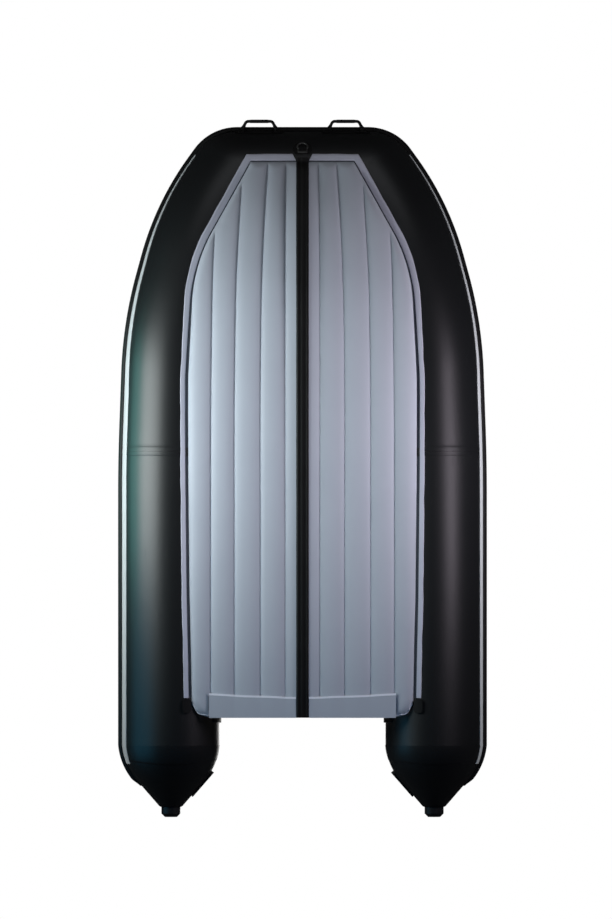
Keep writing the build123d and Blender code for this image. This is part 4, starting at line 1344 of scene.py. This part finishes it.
def stage_mesh(name, points, faces, material, unseen_by):
    """Part of the studio; unseen_by names the kinds of ray that pass it."""
    mesh = bpy.data.meshes.new(name)
    mesh.from_pydata(points, [], faces)
    mesh.materials.append(material)
    obj = add_object(name, mesh)
    for kind in unseen_by:
        setattr(obj, "visible_" + kind, False)


def square(reach, z):
    return [(-reach, -reach, z), (reach, -reach, z), (reach, reach, z), (-reach, reach, z)]


def black_walls():
    """Black walls and bottom far round the boat, open above, which only reflections see."""
    material, _, _ = new_material("wall_paint", (0.006, 0.006, 0.006), 0.9, 0.0)
    walls = [(i, (i + 1) % 4, (i + 1) % 4 + 4, i + 4) for i in range(4)]
    points = square(WALL_REACH, WALL_LOW) + square(WALL_REACH, WALL_HIGH)
    unseen_by = ("camera", "diffuse", "shadow", "transmission")
    stage_mesh("black_walls", points, [(0, 1, 2, 3)] + walls, material, unseen_by)


def studio_floor():
    """Pale floor that keeps the boat's shadow and is clear from below."""
    material, tree, shader = new_material("studio_paint", (0.88, 0.88, 0.88), 1.0, 0.0)
    side = add_node(tree, "NewGeometry").outputs["Backfacing"]
    clear = add_node(tree, "BsdfTransparent").outputs["BSDF"]
    mix = add_node(tree, "MixShader", {0: side, 1: shader.outputs["BSDF"], 2: clear})
    feed(tree, tree.nodes["Material Output"].inputs["Surface"], mix.outputs["Shader"])
    unseen_by = ("shadow", "diffuse", "glossy", "transmission")
    stage_mesh("studio_floor", square(FLOOR_REACH, 0), [(0, 1, 2, 3)], material, unseen_by)


def white_world(ambient, overhead):
    """White for the camera and for reflections; else a soft light, stronger from overhead."""
    world = bpy.data.worlds.new("studio_world")
    bpy.context.scene.world = world
    world.use_nodes = True
    tree = world.node_tree
    ray = add_node(tree, "LightPath").outputs
    seen = maths(tree, "MAXIMUM", ray["Is Camera Ray"], ray["Is Glossy Ray"])
    seen = maths(tree, "MAXIMUM", seen, ray["Is Transmission Ray"])
    direction = add_node(tree, "TexCoord").outputs["Generated"]
    height = add_node(tree, "SeparateXYZ", {"Vector": direction}).outputs["Z"]
    rise = {"Value": height, "From Min": 0.0, "From Max": 0.3, "To Min": ambient, "To Max": overhead}
    sky = add_node(tree, "MapRange", rise).outputs["Result"]
    strength = add_node(tree, "MapRange", {"Value": seen, "To Min": sky, "To Max": 1.0})
    background = tree.nodes["Background"]
    background.inputs["Color"].default_value = (1, 1, 1, 1)
    feed(tree, background.inputs["Strength"], strength.outputs["Result"])


# Photo's view: straight at the bottom, bow up. Its scale in metres a pixel, the boat's middle
# in the picture and the picture's size in pixels.
PHOTO_SCALE = 0.00462
PHOTO_MIDDLE = (302.5, 468.0)
PHOTO_SIZE = (612, 919)
CAMERA_DISTANCE = 90.0
SENSOR = 36.0


def photo_camera():
    """Camera far below the boat that looks up along the hull's own upright."""
    turn = STANCE.to_3x3()
    right = turn @ Vector((1, 0, 0))
    up = turn @ Vector((0, -1, 0))
    look = turn @ Vector((0, 0, 1))
    aim = STANCE @ Vector((0, 0, TUBE_R))
    aim += right * (PHOTO_SIZE[0] / 2 - PHOTO_MIDDLE[0]) * PHOTO_SCALE
    aim -= up * (PHOTO_SIZE[1] / 2 - PHOTO_MIDDLE[1]) * PHOTO_SCALE
    data = bpy.data.cameras.new("photo_camera")
    camera = add_object("photo_camera", data)
    facing = Matrix((right, up, -look)).transposed().to_4x4()
    camera.matrix_world = Matrix.Translation(aim - look * CAMERA_DISTANCE) @ facing
    data.sensor_width = SENSOR
    data.lens = SENSOR * CAMERA_DISTANCE / (PHOTO_SIZE[1] * PHOTO_SCALE)
    data.clip_end = 2 * CAMERA_DISTANCE
    bpy.context.scene.camera = camera


paint_nodes()
build_boat()
studio_floor()
black_walls()
white_world(0.035, 0.62)
hang_lamps()
photo_camera()
bpy.context.scene.view_settings.view_transform = "Standard"
